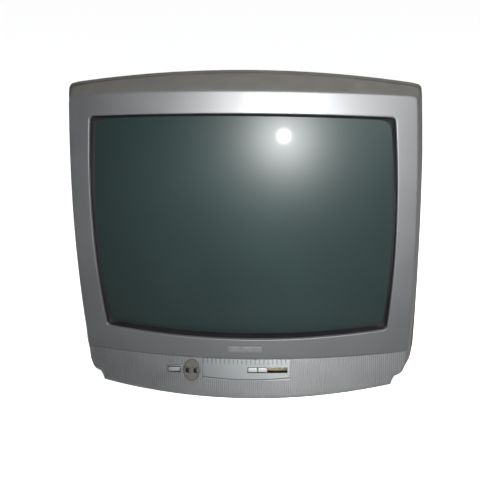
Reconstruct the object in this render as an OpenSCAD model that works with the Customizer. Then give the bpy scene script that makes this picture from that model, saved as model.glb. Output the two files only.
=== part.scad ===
// Television set with a 21-inch cathode ray tube.
// Right is +X seen from the front, the screen faces -Y and +Z is up.
// All pieces are drawn with y = 0 at the middle of the screen border's front and z = 0 on the table,
// then moved back by front_to_centre so that the origin is under the middle of the cabinet.

/* [Screen] */
// Width of the screen opening between its corners
screen_w = 410; // [342:1:492]
// Height of the screen opening between its corners
screen_h = 308; // [257:1:370]
// Outward bow of the opening's upright edges
side_bow = 7; // [3:0.5:10]
// Outward bow of the opening's top and bottom edges
top_bow = 8; // [3:0.5:12]
// Radius of the glass face
glass_r = 950; // [800:10:1400]
// Set-back of the glass behind the border, at the middle
glass_set_back = 10.5; // [8:0.5:14]

/* [Front frame] */
// Painted border at each side of the opening
side_border = 36; // [30:1:44]
// Painted border above the opening, at the middle
top_border = 37.5; // [32:0.5:46]
// Painted border between the opening and the ribbed chin
low_border = 41; // [36:1:50]
// Height of the ribbed chin, at the middle
chin_h = 53; // [48:1:66]
// Distance that the chin's lower edge stands in front of its upper edge
chin_lean = 20; // [12:1:26]
// Radius of the front in plan
plan_r = 830; // [700:10:1300]
// Radius of the front seen from the side
profile_r = 1290; // [1000:10:2000]
// Depth of the frame back to the parting line
frame_depth = 78; // [74:1:94]
// Outward flare of the frame's flanks
flare = 10.5; // [6:0.5:14]
// Rise of the hood above the front's top edge
hood_rise = 20.5; // [14:0.5:26]
// Wall of the front frame
frame_wall = 3; // [2.5:0.1:4]

/* [Rear cover] */
// Depth of the whole cabinet behind the border's middle
cabinet_depth = 472; // [460:1:570]
// Wall of the rear cover
cover_wall = 2.8; // [2.3:0.1:3.4]
// Half width of the rear wall at its foot
rear_foot_w = 182; // [178:1:218]
// Height of the rear wall's top
rear_top_z = 336; // [325:1:400]

/* [Picture tube] */
// Outer radius of the neck
neck_r = 14.55; // [12.2:0.05:17.4]
// Length from the face to the end of the neck
tube_length = 429.5; // [429.5:0.5:434]
// Thickness of the face glass
face_glass = 12; // [10:0.5:14]
// Height of the tube's side wall, behind the middle of the face
skirt_depth = 70; // [66:1:76]

/* [Controls] */
// Width of the mains button
button_w = 17; // [14:0.5:20.5]
// Height of the mains button
button_h = 6.4; // [5.2:0.2:7.6]
// Travel of the mains button
button_travel = 4; // [3:0.5:5]
// Pitch of the four keys
key_pitch = 14.3; // [12:0.1:17]
// Height of the keys
key_h = 6.6; // [5.4:0.2:8]
// Running gap round buttons and keys
key_gap = 0.5; // [0.3:0.1:0.8]

/* [Hidden] */
$fn = 48;

// ---- places that everything shares ----
chin_foot_z = 2;                                   // lowest point of the chin's edge
rib_z = chin_foot_z + chin_h;                      // line between border and chin
open_a = screen_w / 2;
open_b = screen_h / 2;
screen_z = rib_z + low_border + open_b;            // height of the screen's middle
face_half_w = open_a + side_border;                // widest half width of the painted face
face_top_z = screen_z + open_b + top_border;
widest_z = screen_z - 70;                          // height at which the face is widest
side_taper = 6.5;                                  // how much the face narrows to its top
top_sag = 8.2;                                     // how much the face's top edge drops, at open_a
rim_sag = 13;                                      // the same for the hood's rear edge
chin_sag = 11.2;                                   // how much the chin's edge rises, at open_a
plinth_w = open_a + 8;                             // half width of the plinth's lower edge
plinth_top_z = 22;
base_z = 8;                                        // underside of the cabinet behind the chin
gap = 0.4;                                         // gap between mating mouldings
jack_out = 8;                                      // reach of the rear sockets past the rear wall

function sq(v) = v * v;
// Front surface of the border, and of the leaning chin under it
function border_y(x, z) = sq(x) / (2 * plan_r) + sq(z - screen_z) / (2 * profile_r);
function face_y(x, z) = z >= rib_z ? border_y(x, z)
    : border_y(x, rib_z) - chin_lean * (rib_z - z) / chin_h;
front_to_centre = (face_y(0, chin_foot_z) + cabinet_depth + jack_out) / 2;
function glass_y(x, z) = glass_set_back + (sq(x) + sq(z - screen_z)) / (2 * glass_r);
function half_w(z) = face_half_w - side_taper * sq((z - widest_z) / 250);
function top_z(x) = face_top_z - top_sag * sq(x / open_a);
function rim_top_z(x) = face_top_z + hood_rise - rim_sag * sq(x / open_a);

// Lower outline of the chin: the body's corner, the step to the plinth, then a shallow arc
plinth_corner_z = chin_foot_z + chin_sag * sq(plinth_w / open_a);
chin_corner = [
    [half_w(rib_z), rib_z], [half_w(rib_z) - 3, rib_z - 17], [half_w(rib_z) - 8, rib_z - 27],
    [half_w(rib_z) - 12, plinth_top_z + 2.5], [plinth_w + 6, plinth_top_z],
    [plinth_w + 2.5, plinth_top_z - 5], [plinth_w, plinth_corner_z]];
chin_steps = 8;
function chin_half() = concat(chin_corner,
    [for (i = [1:chin_steps - 1]) let (x = plinth_w * (1 - i / chin_steps)) [x, chin_foot_z + chin_sag * sq(x / open_a)]]);
chin_points = let (h = chin_half(), n = len(h)) concat(h, [[0, chin_foot_z]],
    [for (i = [n - 1:-1:0]) [-h[i][0], h[i][1]]]);
chin_n = len(chin_points);
top_n = 20;
side_n = 16;

// One closed loop round the frame, clockwise from the top left corner. f(side, t, i) gives a point:
// side 0 is the top, 1 the right, 2 the bottom and 3 the left, and t runs from -1 to 1 along it.
function loop(f) = concat(
    [for (i = [0:top_n - 1]) f(0, -1 + 2 * i / top_n, i)],
    [for (i = [0:side_n - 1]) f(1, -1 + 2 * i / side_n, i)],
    [for (i = [0:chin_n - 2]) f(2, -chin_points[i][0] / chin_points[0][0], i)],
    [for (i = [0:side_n - 1]) f(3, -1 + 2 * i / side_n, i)]);

// Point on the opening's edge, grown outwards by g
function opening_xz(s, t, g) = let (a = open_a + g, b = open_b + g)
    s == 0 ? [t * a, screen_z + b + top_bow * (1 - t * t)]
    : s == 1 ? [a + side_bow * (1 - t * t), screen_z - t * b]
    : s == 2 ? [-t * a, screen_z - b - top_bow * (1 - t * t)]
    : [-a - side_bow * (1 - t * t), screen_z + t * b];
// Point on the face's outline, inset by g
corner_z = top_z(half_w(face_top_z - 11));
function outline_xz(s, t, i, g) = let (side_z = corner_z - (corner_z - rib_z) * (t + 1) / 2)
    s == 0 ? [t * (half_w(corner_z) - g), top_z(t * half_w(corner_z)) - g]
    : s == 1 ? [half_w(side_z) - g, side_z - g * (1 - t) / 2]
    : s == 2 ? [chin_points[i][0] * (1 - g / face_half_w), chin_points[i][1] + g * (i == 0 ? 0 : 1)]
    : let (z = rib_z + (corner_z - rib_z) * (t + 1) / 2) [-half_w(z) + g, z - g * (t + 1) / 2];
// Point on the ring that follows the rib line below and the outline elsewhere
function rib_xz(s, t, i, g) = s == 2 ? [chin_points[i][0] * (1 - g / face_half_w), rib_z] : outline_xz(s, t, i, g + 9);
// Point on the frame's rear rim, inset by g
rim_corner_x = half_w(corner_z) + flare - 2;
rim_corner_z = rim_top_z(rim_corner_x);
function rim_low(p, g) = let (x = p[0] * (1 + flare / face_half_w)) [x * (1 - g / face_half_w),
    (abs(p[0]) > plinth_w + 1 ? max(plinth_top_z, p[1] - 6) : base_z) + g];
function rim_xz(s, t, i, g) = let (
        u = (t + 1) / 2,
        zr = rim_corner_z + (rib_z - rim_corner_z) * u,
        zl = rib_z + (rim_corner_z - rib_z) * u)
    s == 0 ? [t * (rim_corner_x - g), rim_top_z(t * rim_corner_x) - g]
    : s == 1 ? [half_w(zr) + flare - 2 + 2 * min(1, 4 * u) - g, zr - g * (1 - u)]
    : s == 2 ? (i == 0 ? [half_w(rib_z) + flare - g, rib_z] : rim_low(chin_points[i], g))
    : [-half_w(zl) - flare + 2 - 2 * min(1, 4 * (1 - u)) + g, zl - g * u];
function on_face(p, back) = [p[0], face_y(p[0], p[1]) + back, p[1]];

// Closed skin through loops of equal length. A ring joins the last loop to the first.
module skin(loops, ring = false) {
    n = len(loops[0]);
    m = len(loops);
    caps = ring ? [] : [loops[0], loops[m - 1]];
    mids = [for (c = caps) [for (k = [0:2]) [for (p = c) p[k]] * [for (p = c) 1 / n]]];
    points = concat([for (l = loops) each l], mids);
    walls = [for (k = [0:(ring ? m - 1 : m - 2)]) for (i = [0:n - 1])
        let (a = k * n + i, b = k * n + (i + 1) % n, d = (k + 1) % m * n + i, c = (k + 1) % m * n + (i + 1) % n)
        each [[a, c, b], [a, d, c]]];
    ends = ring ? [] : [for (i = [0:n - 1]) each
        [[m * n, i, (i + 1) % n], [m * n + 1, (m - 1) * n + (i + 1) % n, (m - 1) * n + i]]];
    polyhedron(points = points, faces = concat(walls, ends), convexity = 8);
}

// Rounded, bowed rectangle of corner half sizes a and b, as 2D points
function barrel(a, b, bow_a, bow_b, r, n = 7, m = 5) = let (
        arc = function (sx, sz, from) [for (k = [0:m - 1]) let (w = from - 90 * k / (m - 1))
            [sx * (a - r) + r * cos(w), sz * (b - r) + r * sin(w)]],
        t = [for (k = [1:n]) -1 + 2 * k / (n + 1)])
    concat(
        [for (u = t) [u * (a - r), b + bow_b * (1 - u * u)]], arc(1, 1, 90),
        [for (u = t) [a + bow_a * (1 - u * u), -u * (b - r)]], arc(1, -1, 0),
        [for (u = t) [-u * (a - r), -b - bow_b * (1 - u * u)]], arc(-1, -1, -90),
        [for (u = t) [-a - bow_a * (1 - u * u), u * (b - r)]], arc(-1, 1, 180));
function at_y(points, y) = [for (p = points) [p[0], y, p[1] + screen_z]];
// Prism of a 2D outline in x and z, from y0 to y1
module prism(y0, y1) translate([0, y1, 0]) rotate([90, 0, 0]) linear_extrude(height = y1 - y0) children();
// Cylinder along +Y from y0 to y1
module rod(r, y0, y1, x = 0, z = 0) translate([x, y1, z]) rotate([90, 0, 0]) cylinder(r = r, h = y1 - y0);
module pipe(r, bore, y0, y1, x = 0, z = 0) difference() {
    rod(r, y0, y1, x, z);
    rod(bore, y0 - 1, y1 + 1, x, z);
}
// Box from one corner to the other
module block(p, q) translate(p) cube(q - p);
module spun(profile, z = screen_z) translate([0, 0, z]) rotate([-90, 0, 0]) rotate_extrude() polygon(profile);
// Round tube of radius r swept along points
module sweep(path, r, sides = 8) {
    n = len(path);
    rings = [for (i = [0:n - 1]) let (
            d = path[min(i + 1, n - 1)] - path[max(i - 1, 0)], e = d / norm(d),
            side = abs(e[2]) > 0.9 ? [1, 0, 0] : [0, 0, 1],
            u = cross(e, side) / norm(cross(e, side)), v = cross(e, u))
        [for (k = [0:sides - 1]) path[i] + r * (cos(360 * k / sides) * u + sin(360 * k / sides) * v)]];
    skin(rings);
}

module on_chin(x, z) translate([x, face_y(x, z), z]) rotate([-atan(chin_lean / chin_h), 0, 0]) children();

// ---- front frame ----
tower_at = [open_a + 15, open_b + 14];             // tube fixings, from the screen's middle
tower_r = 7.5;
tower_bore = 2.5;
lug_y = glass_set_back + 56;                       // front of the tube's fixing lugs
lug_t = 2;
cover_fix = [[open_a - 55, face_top_z - 12.5], [face_half_w - 9, screen_z - 50], [open_a + 17, rib_z - 15]];
cover_fix_y = frame_depth + 12;                    // where the frame's bosses meet the cover's
fix_r = 5;
pilot_r = 1.9;
panel_x0 = -62;
panel_x1 = 65;
panel_z0 = rib_z - 29;
panel_z1 = rib_z - 9;
panel_sink = 2;                                    // depth of the smooth control panel under the chin's ribs
panel_back = face_y(0, panel_z1) + 6;              // back of the wall behind it
keys_x0 = 4;
key_z = rib_z - 16;
button_x = -104.5;
button_z = rib_z - 18;
button_y = face_y(button_x, button_z);
ir_x = -78.5;
ir_z = rib_z - 18;
ir_r = 12.5;

module front_shell() skin([
    loop(function (s, t, i) let (p = opening_xz(s, t, -1.5)) [p[0], glass_y(p[0], p[1]) - 1.2, p[1]]),
    loop(function (s, t, i) on_face(opening_xz(s, t, 0), 0)),
    loop(function (s, t, i) on_face(rib_xz(s, t, i, 0), 0)),
    loop(function (s, t, i) on_face(outline_xz(s, t, i, 0), 0)),
    loop(function (s, t, i) let (p = rim_xz(s, t, i, 0)) [p[0], frame_depth, p[1]]),
    loop(function (s, t, i) let (p = rim_xz(s, t, i, frame_wall)) [p[0], frame_depth, p[1]]),
    loop(function (s, t, i) on_face(outline_xz(s, t, i, frame_wall), frame_wall + 1)),
    loop(function (s, t, i) on_face(rib_xz(s, t, i, frame_wall), frame_wall)),
    loop(function (s, t, i) on_face(opening_xz(s, t, frame_wall), frame_wall)),
    loop(function (s, t, i) let (p = opening_xz(s, t, frame_wall - 1.5)) [p[0], glass_y(p[0], p[1]) - 1.2, p[1]])],
    ring = true);

module front_bezel() color([0.62, 0.63, 0.65]) difference() {
    union() {
        front_shell();
        // thicker wall round the control panel's recess
        translate([panel_x0 - 2, 0, 0]) rotate([90, 0, 90]) linear_extrude(height = panel_x1 - panel_x0 + 4) polygon([
            [face_y(0, panel_z0 - 2) + frame_wall - 0.3, panel_z0 - 2], [face_y(0, panel_z1 + 2) + frame_wall - 0.3, panel_z1 + 2],
            [panel_back, panel_z1 + 2], [panel_back, panel_z0 - 2]]);
        // towers that hold the tube
        for (sx = [-1, 1], sz = [-1, 1]) {
            z = screen_z + sz * tower_at[1];
            rod(tower_r, border_y(tower_at[0], z) + 1.5, lug_y, sx * tower_at[0], z);
        }
        // bosses that hold the rear cover
        for (sx = [-1, 1], p = cover_fix) rod(fix_r, face_y(p[0], p[1]) + 2, cover_fix_y - gap, sx * p[0], p[1]);
    }
    // recess of the control panel, as deep in the middle as the plan curve needs
    translate([panel_x0, 0, 0]) rotate([90, 0, 90]) linear_extrude(height = panel_x1 - panel_x0) polygon([
        [-30, panel_z0], [-30, panel_z1], [face_y(panel_x1, panel_z1) + panel_sink - 1, panel_z1],
        [face_y(panel_x1, panel_z0) + panel_sink - 1, panel_z0]]);
    for (sx = [-1, 1], sz = [-1, 1]) rod(tower_bore, lug_y - 18, lug_y + 1, sx * tower_at[0], screen_z + sz * tower_at[1]);
    for (sx = [-1, 1], p = cover_fix) rod(pilot_r, cover_fix_y - 20, cover_fix_y + 1, sx * p[0], p[1]);
    // button window, sensor hole and key slot
    block([button_x - button_w / 2 - key_gap, -30, button_z - button_h / 2 - key_gap],
        [button_x + button_w / 2 + key_gap, 60, button_z + button_h / 2 + key_gap]);
    on_chin(ir_x, ir_z) rod(ir_r - 2, -30, 30);
    block([keys_x0 - key_gap, -30, key_z - key_h / 2 - key_gap],
        [keys_x0 + 4 * key_pitch + key_gap, 60, key_z + key_h / 2 + key_gap]);
}

plate_z = rib_z + 16.5;
plate_lean = atan((face_y(0, plate_z - 4.5) - face_y(0, plate_z + 4.5)) / 9);
module name_plate() color([0.8, 0.8, 0.8]) translate([0, face_y(0, plate_z) - 0.2, plate_z])
    rotate([plate_lean, 0, 0]) block([-25, -1.2, -4.5], [25, 0, 4.5]);

// Two windows, a square pair, look through the escutcheon
lens_at = [-5.6, 6.2];
module lens_cut(g) for (x = lens_at) block([x - 3 - g, -4, -2.6 - g], [x + 3 + g, 8, 2.6 + g]);
module ir_escutcheon() color([0.6, 0.61, 0.62]) on_chin(ir_x, ir_z) difference() {
    union() {
        rotate([0, 90, 0]) prism(-2.6, -1.3) oval(ir_r + 2.5, ir_r);
        rod(ir_r - 2.2, -2, 6);
    }
    lens_cut(0.1);
}
module ir_lenses() color([0.05, 0.04, 0.05]) on_chin(ir_x, ir_z)
    for (x = lens_at) block([x - 3, -2.3, -2.6], [x + 3, 5, 2.6]);
sensor_y = face_y(ir_x, ir_z) + 14;
module front_sensors() color([0.12, 0.1, 0.1]) {
    block([ir_x + lens_at[0] - 3.2, sensor_y, ir_z - 13], [ir_x + lens_at[0] + 3.2, sensor_y + 5, ir_z + 4]);
    rod(2.4, sensor_y - 3, sensor_y + 4, ir_x + lens_at[1], ir_z);
    block([ir_x + lens_at[1] - 1.5, sensor_y + 1, ir_z - 13], [ir_x + lens_at[1] + 1.5, sensor_y + 3, ir_z - 1]);
}

// ---- mains button and switch ----
stem = 2.6;                                        // half thickness of the button's stem
switch_y = button_y + 26;
front_board_z = button_z - 14.6;
module power_button() color([0.85, 0.85, 0.84]) {
    block([button_x - button_w / 2, button_y - 1.5, button_z - button_h / 2],
        [button_x + button_w / 2, button_y + 9, button_z + button_h / 2]);
    block([button_x - stem, button_y + 8, button_z - stem], [button_x + stem, switch_y + 8, button_z + stem]);
}
module mains_switch() color([0.1, 0.1, 0.1]) difference() {
    block([button_x - 12, switch_y, button_z - 13], [button_x + 12, switch_y + 30, button_z + 9]);
    block([button_x - stem - 0.4, switch_y - 1, button_z - stem - 0.4],
        [button_x + stem + 0.4, switch_y + 8 + button_travel + 1.5, button_z + stem + 0.4]);
}
module front_board() color([0.7, 0.5, 0.2])
    block([button_x - 20, sensor_y - 4, front_board_z], [ir_x + 18, switch_y + 40, front_board_z + 1.6]);

// ---- channel and volume keys: two are fitted and two are missing ----
key_back = panel_back + 2;
key_proud = 0.6;
key_travel = 0.6;
tact_y = key_back + 3.2;                           // front of the small switches
tact_d = 3.4;
plunger_r = 1.7;
function key_x(i) = keys_x0 + (i + 0.5) * key_pitch;
module key(i) color([0.82, 0.82, 0.82]) {
    block([key_x(i) - key_pitch / 2 + key_gap, face_y(key_x(i), key_z) + panel_sink - key_proud, key_z - key_h / 2],
        [key_x(i) + key_pitch / 2 - key_gap, key_back, key_z + key_h / 2]);
    plunger(i, key_back - 0.5);
}
module plunger(i, y) rod(plunger_r, y, tact_y + 0.8, key_x(i), key_z);
module key_left() key(0);
module key_right() key(1);
module bare_plunger_3() color([0.15, 0.4, 0.4]) plunger(2, tact_y - 2.2);
module bare_plunger_4() color([0.15, 0.4, 0.4]) plunger(3, tact_y - 2.2);
module key_switches() color([0.2, 0.2, 0.2]) for (i = [0:3]) difference() {
    block([key_x(i) - 3, tact_y, key_z - 3], [key_x(i) + 3, tact_y + tact_d, key_z + 3]);
    rod(plunger_r + 0.25, tact_y - 1, tact_y + 0.8 + key_travel + 0.6, key_x(i), key_z);
}
module key_board() color([0.6, 0.4, 0.12])
    block([keys_x0 - 6, tact_y + tact_d, key_z - 13], [keys_x0 + 4 * key_pitch + 6, tact_y + tact_d + 1.6, key_z + 8]);

// ---- rear cover ----
cover_y = frame_depth + gap;                       // its front edge
rear_top_w = rear_foot_w - 52;                     // half width of the rear wall at its top
cover_inset = 1;                                   // step between the frame's rim and the cover
cover_steps = [[0, 0], [0.05, 0], [0.25, 0], [0.5, 0], [0.75, 0], [0.965, 0], [1, 9]];
function rear_xz(s, t, i, g) = let (u = (t + 1) / 2)
    s == 0 ? [t * (rear_top_w - g), rear_top_z - 6 * t * t - g]
    : s == 1 ? [rear_top_w + (rear_foot_w - rear_top_w) * u - g, rear_top_z - 6 + (rib_z - rear_top_z + 6) * u - g * (1 - u)]
    : s == 2 ? let (p = rim_xz(2, t, i, g)) [p[0] * (rear_foot_w - g) / (half_w(rib_z) + flare - g), p[1]]
    : [-rear_foot_w + (rear_foot_w - rear_top_w) * u + g, rib_z + (rear_top_z - 6 - rib_z) * u - g * u];
function cover_point(s, t, i, step, g) = let (
        u = step[0], p = rim_xz(s, t, i, cover_inset + g), q = rear_xz(s, t, i, g + step[1]),
        y0 = cover_y - (g > 0 ? 1 : 0), y1 = cabinet_depth - g)
    [p[0] + (q[0] - p[0]) * pow(u, 1.25), y0 + (y1 - y0) * u, p[1] + (q[1] - p[1]) * pow(u, 1.35)];
module cover_solid(g) skin([for (step = cover_steps) loop(function (s, t, i) cover_point(s, t, i, step, g))]);

socket_z = base_z + 26;
scart_x = 45;
jack_x = [92, 106, 120];
aerial_x = -30;
gland_x = -130;
gland_z = base_z + 24;
gland_r = 6.5;
cord_r = 3.7;
foot_x = 150;
foot_r = 11;
foot_y = [34, cabinet_depth - 60];
foot_peg_r = 3.5;
foot_seat = chin_foot_z + chin_sag * sq(foot_x / open_a);   // underside of the frame over a front foot

module rear_cover() color([0.2, 0.2, 0.2]) difference() {
    union() {
        difference() {
            cover_solid(0);
            cover_solid(cover_wall);
        }
        // deep wells for the fixing screws
        intersection() {
            cover_solid(0);
            for (sx = [-1, 1], p = cover_fix) rod(7, cover_fix_y, cabinet_depth, sx * p[0], p[1]);
        }
        for (x = [-foot_x, foot_x]) translate([x, foot_y[1], base_z]) cylinder(r = 8, h = 6);
    }
    for (sx = [-1, 1], p = cover_fix) {
        rod(pilot_r + 0.3, cover_fix_y - 1, cabinet_depth, sx * p[0], p[1]);
        rod(5, cover_fix_y + 4, cabinet_depth + 9, sx * p[0], p[1]);
    }
    // ventilation slots in the sloping top and in the rear wall
    for (row = [0, 1], i = [-14:14]) block([i * 9 - 2.2, cover_y + 95 + row * 85, rear_top_z - 60 + 40 * (1 - row)],
        [i * 9 + 2.2, cover_y + 150 + row * 85, face_top_z + 60]);
    for (i = [-10:10]) block([i * 9 - 2.2, cabinet_depth - 30, rear_top_z - 95], [i * 9 + 2.2, cabinet_depth + 5, rear_top_z - 45]);
    // openings for the sockets and the mains cord
    block([scart_x - 27, cabinet_depth - 20, socket_z - 9], [scart_x + 27, cabinet_depth + 5, socket_z + 9]);
    for (x = jack_x) rod(6, cabinet_depth - 20, cabinet_depth + 5, x, socket_z);
    rod(7, cabinet_depth - 20, cabinet_depth + 5, aerial_x, socket_z);
    rod(gland_r, cabinet_depth - 20, cabinet_depth + 5, gland_x, gland_z);
    for (x = [-foot_x, foot_x]) translate([x, foot_y[1], base_z - 1]) cylinder(r = foot_peg_r, h = 10);
}
module cord_gland() color([0.08, 0.08, 0.08]) difference() {
    union() {
        rod(gland_r, cabinet_depth - cover_wall - 3, cabinet_depth + 0.5, gland_x, gland_z);
        rod(gland_r + 2.5, cabinet_depth, cabinet_depth + 2.5, gland_x, gland_z);
        rod(gland_r + 1.5, cabinet_depth - cover_wall - 4, cabinet_depth - cover_wall, gland_x, gland_z);
    }
    rod(cord_r, cabinet_depth - 30, cabinet_depth + 9, gland_x, gland_z);
}
module rating_label() color([0.75, 0.75, 0.75])
    block([-60, cabinet_depth, socket_z + 30], [10, cabinet_depth + 0.4, socket_z + 70]);
module cover_screws() color([0.3, 0.3, 0.3]) for (sx = [-1, 1], p = cover_fix) {
    rod(pilot_r - 0.05, cover_fix_y - 16, cover_fix_y + 4.5, sx * p[0], p[1]);
    rod(3.9, cover_fix_y + 4, cover_fix_y + 7, sx * p[0], p[1]);
}
module feet() color([0.06, 0.06, 0.06]) for (x = [-foot_x, foot_x]) {
    translate([x, foot_y[0], 0]) cylinder(r = foot_r, h = foot_seat + 0.4);
    translate([x, foot_y[1], 0]) cylinder(r = foot_r, h = base_z);
    translate([x, foot_y[1], 0]) cylinder(r = foot_peg_r - 0.05, h = base_z + 5);
}

// ---- picture tube ----
tube_a = open_a + 11;                              // half width of its side wall, at the corners
tube_b = open_b + 11;
tube_bow_a = 5;
tube_bow_b = 6;
tube_corner = 30;
skirt_y = glass_set_back + skirt_depth;            // seam between panel and funnel
neck_y1 = glass_set_back + tube_length;            // end of the neck
neck_y0 = neck_y1 - 122;                           // seam between funnel and neck
skirt_glass = 9;
funnel_glass = 5;
neck_glass = 1.6;
function tube_loop(y, g) = at_y(barrel(tube_a - g, tube_b - g, tube_bow_a, tube_bow_b, tube_corner - g / 2), y);
// Loop on a face surface that lies back behind the glass face, shrunk by k
function face_loop(k, g, back) = [for (p = at_y(barrel(tube_a - g, tube_b - g, tube_bow_a, tube_bow_b, tube_corner - g / 2), 0))
    let (x = p[0] * k, z = screen_z + (p[2] - screen_z) * k) [x, glass_y(x, z) + back, z]];
face_steps = [0.08, 0.4, 0.7, 0.93];

module tube_panel() color([0.3, 0.36, 0.35, 0.5]) skin(concat(
    [for (k = face_steps) face_loop(k, 5, 0)],
    [face_loop(1, 6, 2), tube_loop(lug_y - 8, 0), tube_loop(skirt_y, 0.6)],
    [tube_loop(skirt_y, skirt_glass), tube_loop(lug_y - 8, skirt_glass + 2)],
    [for (i = [3:-1:0]) face_loop(face_steps[i], skirt_glass + 4, face_glass)]));

// Funnel: share of the way from the seam to the neck, share of the size, and how square it is
funnel_steps = [[0, 1, 1], [0.12, 0.93, 1], [0.3, 0.74, 0.9], [0.5, 0.52, 0.6], [0.7, 0.335, 0.25], [0.85, 0.215, 0], [0.95, 0.13, 0]];
function funnel_y(u) = skirt_y + (neck_y0 - skirt_y) * u;
function funnel_loop(step, g) = [for (p = tube_loop(funnel_y(step[0]), 0.6))
    let (x = p[0] * step[1], z = (p[2] - screen_z) * step[1], r = norm([x, z]), round_r = tube_b * step[1],
        k = (step[2] * r + (1 - step[2]) * round_r - g) / r)
    [x * k, p[1], screen_z + z * k]];
function neck_loop(y, r) = [for (p = tube_loop(y, 0)) let (l = norm([p[0], p[2] - screen_z]))
    [p[0] * r / l, y, screen_z + (p[2] - screen_z) * r / l]];
module tube_funnel() color([0.12, 0.12, 0.12]) skin(concat(
    [for (s = funnel_steps) funnel_loop(s, 0)], [neck_loop(neck_y0, neck_r)],
    [neck_loop(neck_y0, neck_r - neck_glass)],
    [for (i = [6:-1:1]) funnel_loop(funnel_steps[i], funnel_glass)], [funnel_loop(funnel_steps[0], skirt_glass - 1)]),
    ring = true);
module tube_neck() color([0.6, 0.65, 0.65, 0.5]) {
    pipe(neck_r, neck_r - neck_glass, neck_y0, neck_y1, 0, screen_z);
    rod(neck_r - 0.2, neck_y1 - 3, neck_y1, 0, screen_z);
}
pins = 10;
module tube_base() color([0.15, 0.15, 0.15]) difference() {
    union() {
        rod(11, neck_y1, neck_y1 + 5, 0, screen_z);
        for (i = [0:pins - 1]) rod(0.5, neck_y1 + 4, neck_y1 + 10,
            8 * cos(i * 360 / (pins + 1)), screen_z + 8 * sin(i * 360 / (pins + 1)));
    }
    rod(3, neck_y1 + 3, neck_y1 + 6, 0, screen_z);
}
gun_y = neck_y1 - 95;
module electron_gun() color([0.7, 0.7, 0.72]) translate([0, 0, screen_z]) {
    for (g = [[0, 18, 9], [22, 30, 8.6], [34, 52, 9], [56, 62, 9.6], [66, 72, 8.4], [76, 84, 7]])
        pipe(g[2], 3, gun_y + g[0], gun_y + g[1]);
    for (x = [-10.2, 10.2]) rod(1.4, gun_y + 4, gun_y + 86, x, 0);
    pipe(12.2, 9, gun_y - 6, gun_y - 1);
}
mask_back = face_glass + 10;
module shadow_mask() color([0.3, 0.3, 0.32]) skin(concat(
    [for (k = face_steps) face_loop(k, skirt_glass + 10, mask_back)], [face_loop(1, skirt_glass + 10, mask_back)],
    [face_loop(1, skirt_glass + 10, mask_back + 0.6)], [for (i = [3:-1:0]) face_loop(face_steps[i], skirt_glass + 10, mask_back + 0.6)]));
module mask_frame() color([0.4, 0.38, 0.36]) skin([tube_loop(lug_y + 2, skirt_glass + 7), tube_loop(lug_y + 12, skirt_glass + 5),
    tube_loop(lug_y + 12, skirt_glass + 22), tube_loop(lug_y + 10.5, skirt_glass + 22), tube_loop(lug_y + 10.5, skirt_glass + 8),
    tube_loop(lug_y + 2, skirt_glass + 8.5)], ring = true);

// ---- steel band with the fixing lugs ----
band_w = 24;
module implosion_band() color([0.55, 0.55, 0.55]) difference() {
    union() {
        skin([tube_loop(lug_y - 12, -1.5), tube_loop(lug_y - 12 + band_w, -1.5),
            tube_loop(lug_y - 12 + band_w, -0.3), tube_loop(lug_y - 12, -0.3)], ring = true);
        for (sx = [-1, 1], sz = [-1, 1]) translate([0, 0, screen_z]) prism(lug_y + 0.1, lug_y + 0.1 + lug_t) {
            translate([sx * tower_at[0], sz * tower_at[1]]) circle(r = 9);
            polygon([[sx * (tower_at[0] + 4), sz * (tower_at[1] - 8)], [sx * (tower_at[0] - 7), sz * (tower_at[1] + 5)],
                [sx * (tube_a - 19), sz * (tube_b + 0.5)], [sx * (tube_a + 0.5), sz * (tube_b - 19)]]);
        }
    }
    for (sx = [-1, 1], sz = [-1, 1]) rod(3, lug_y - 1, lug_y + 4, sx * tower_at[0], screen_z + sz * tower_at[1]);
}
module tube_screws() color([0.75, 0.72, 0.6]) for (sx = [-1, 1], sz = [-1, 1]) translate([sx * tower_at[0], 0, screen_z + sz * tower_at[1]]) {
    rod(tower_bore - 0.05, lug_y - 16, lug_y + 4);
    rod(8, lug_y + lug_t + 0.2, lug_y + lug_t + 1.6);
    rod(5.5, lug_y + lug_t + 1.5, lug_y + lug_t + 5);
}
coil_r = 5;
module degauss_coil() color([0.08, 0.08, 0.08]) skin([for (k = [0:7]) let (w = k * 45)
    tube_loop(skirt_y + 29 + coil_r * sin(w), 4 - coil_r * cos(w))], ring = true);

// ---- leads on the tube ----
braid_y = lug_y + lug_t + 1.5;                     // the braid starts on the back of the lower lugs
braid_half = [[tower_at[0] - 9, braid_y, screen_z - tower_at[1] + 6],
    [tower_at[0] - 21, skirt_y, screen_z - tower_at[1] - 0.5], [tube_a - 31, skirt_y + 6, screen_z - tube_b - 5],
    [tube_a - 56, skirt_y + 29, screen_z - tube_b - 8], [110, skirt_y + 62, screen_z - tube_b + 13],
    [50, skirt_y + 108, screen_z - tube_b + 43]];
braid = concat([for (p = braid_half) [-p[0], p[1], p[2]]], [[0, skirt_y + 125, screen_z - tube_b + 53]],
    [for (i = [len(braid_half) - 1:-1:0]) braid_half[i]]);
module ground_braid() color([0.6, 0.6, 0.58]) sweep(braid, 1.6, 8);
anode_u = 0.3;
anode_z = screen_z + (tube_b + tube_bow_b) * 0.74;
module anode_cap() color([0.35, 0.1, 0.08]) translate([0, funnel_y(anode_u) + 4, anode_z + 1]) rotate([-45, 0, 0]) difference() {
    union() {
        cylinder(r = 30, h = 2);
        cylinder(r = 12, h = 9);
    }
    translate([0, 0, -1]) cylinder(r = 4, h = 5);
}
fly_x = 105;
fly_y = cabinet_depth - 150;
fly_z = base_z + 18;
lead_path = [[2, 166, 384], [30, 172, 392], [80, 190, 380], [120, 220, 340], [135, 250, 290], [138, 285, 220],
    [128, 310, 160], [fly_x, fly_y, fly_z + 92]];
module anode_lead() color([0.5, 0.1, 0.08]) sweep(lead_path, 2.2, 8);

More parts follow.
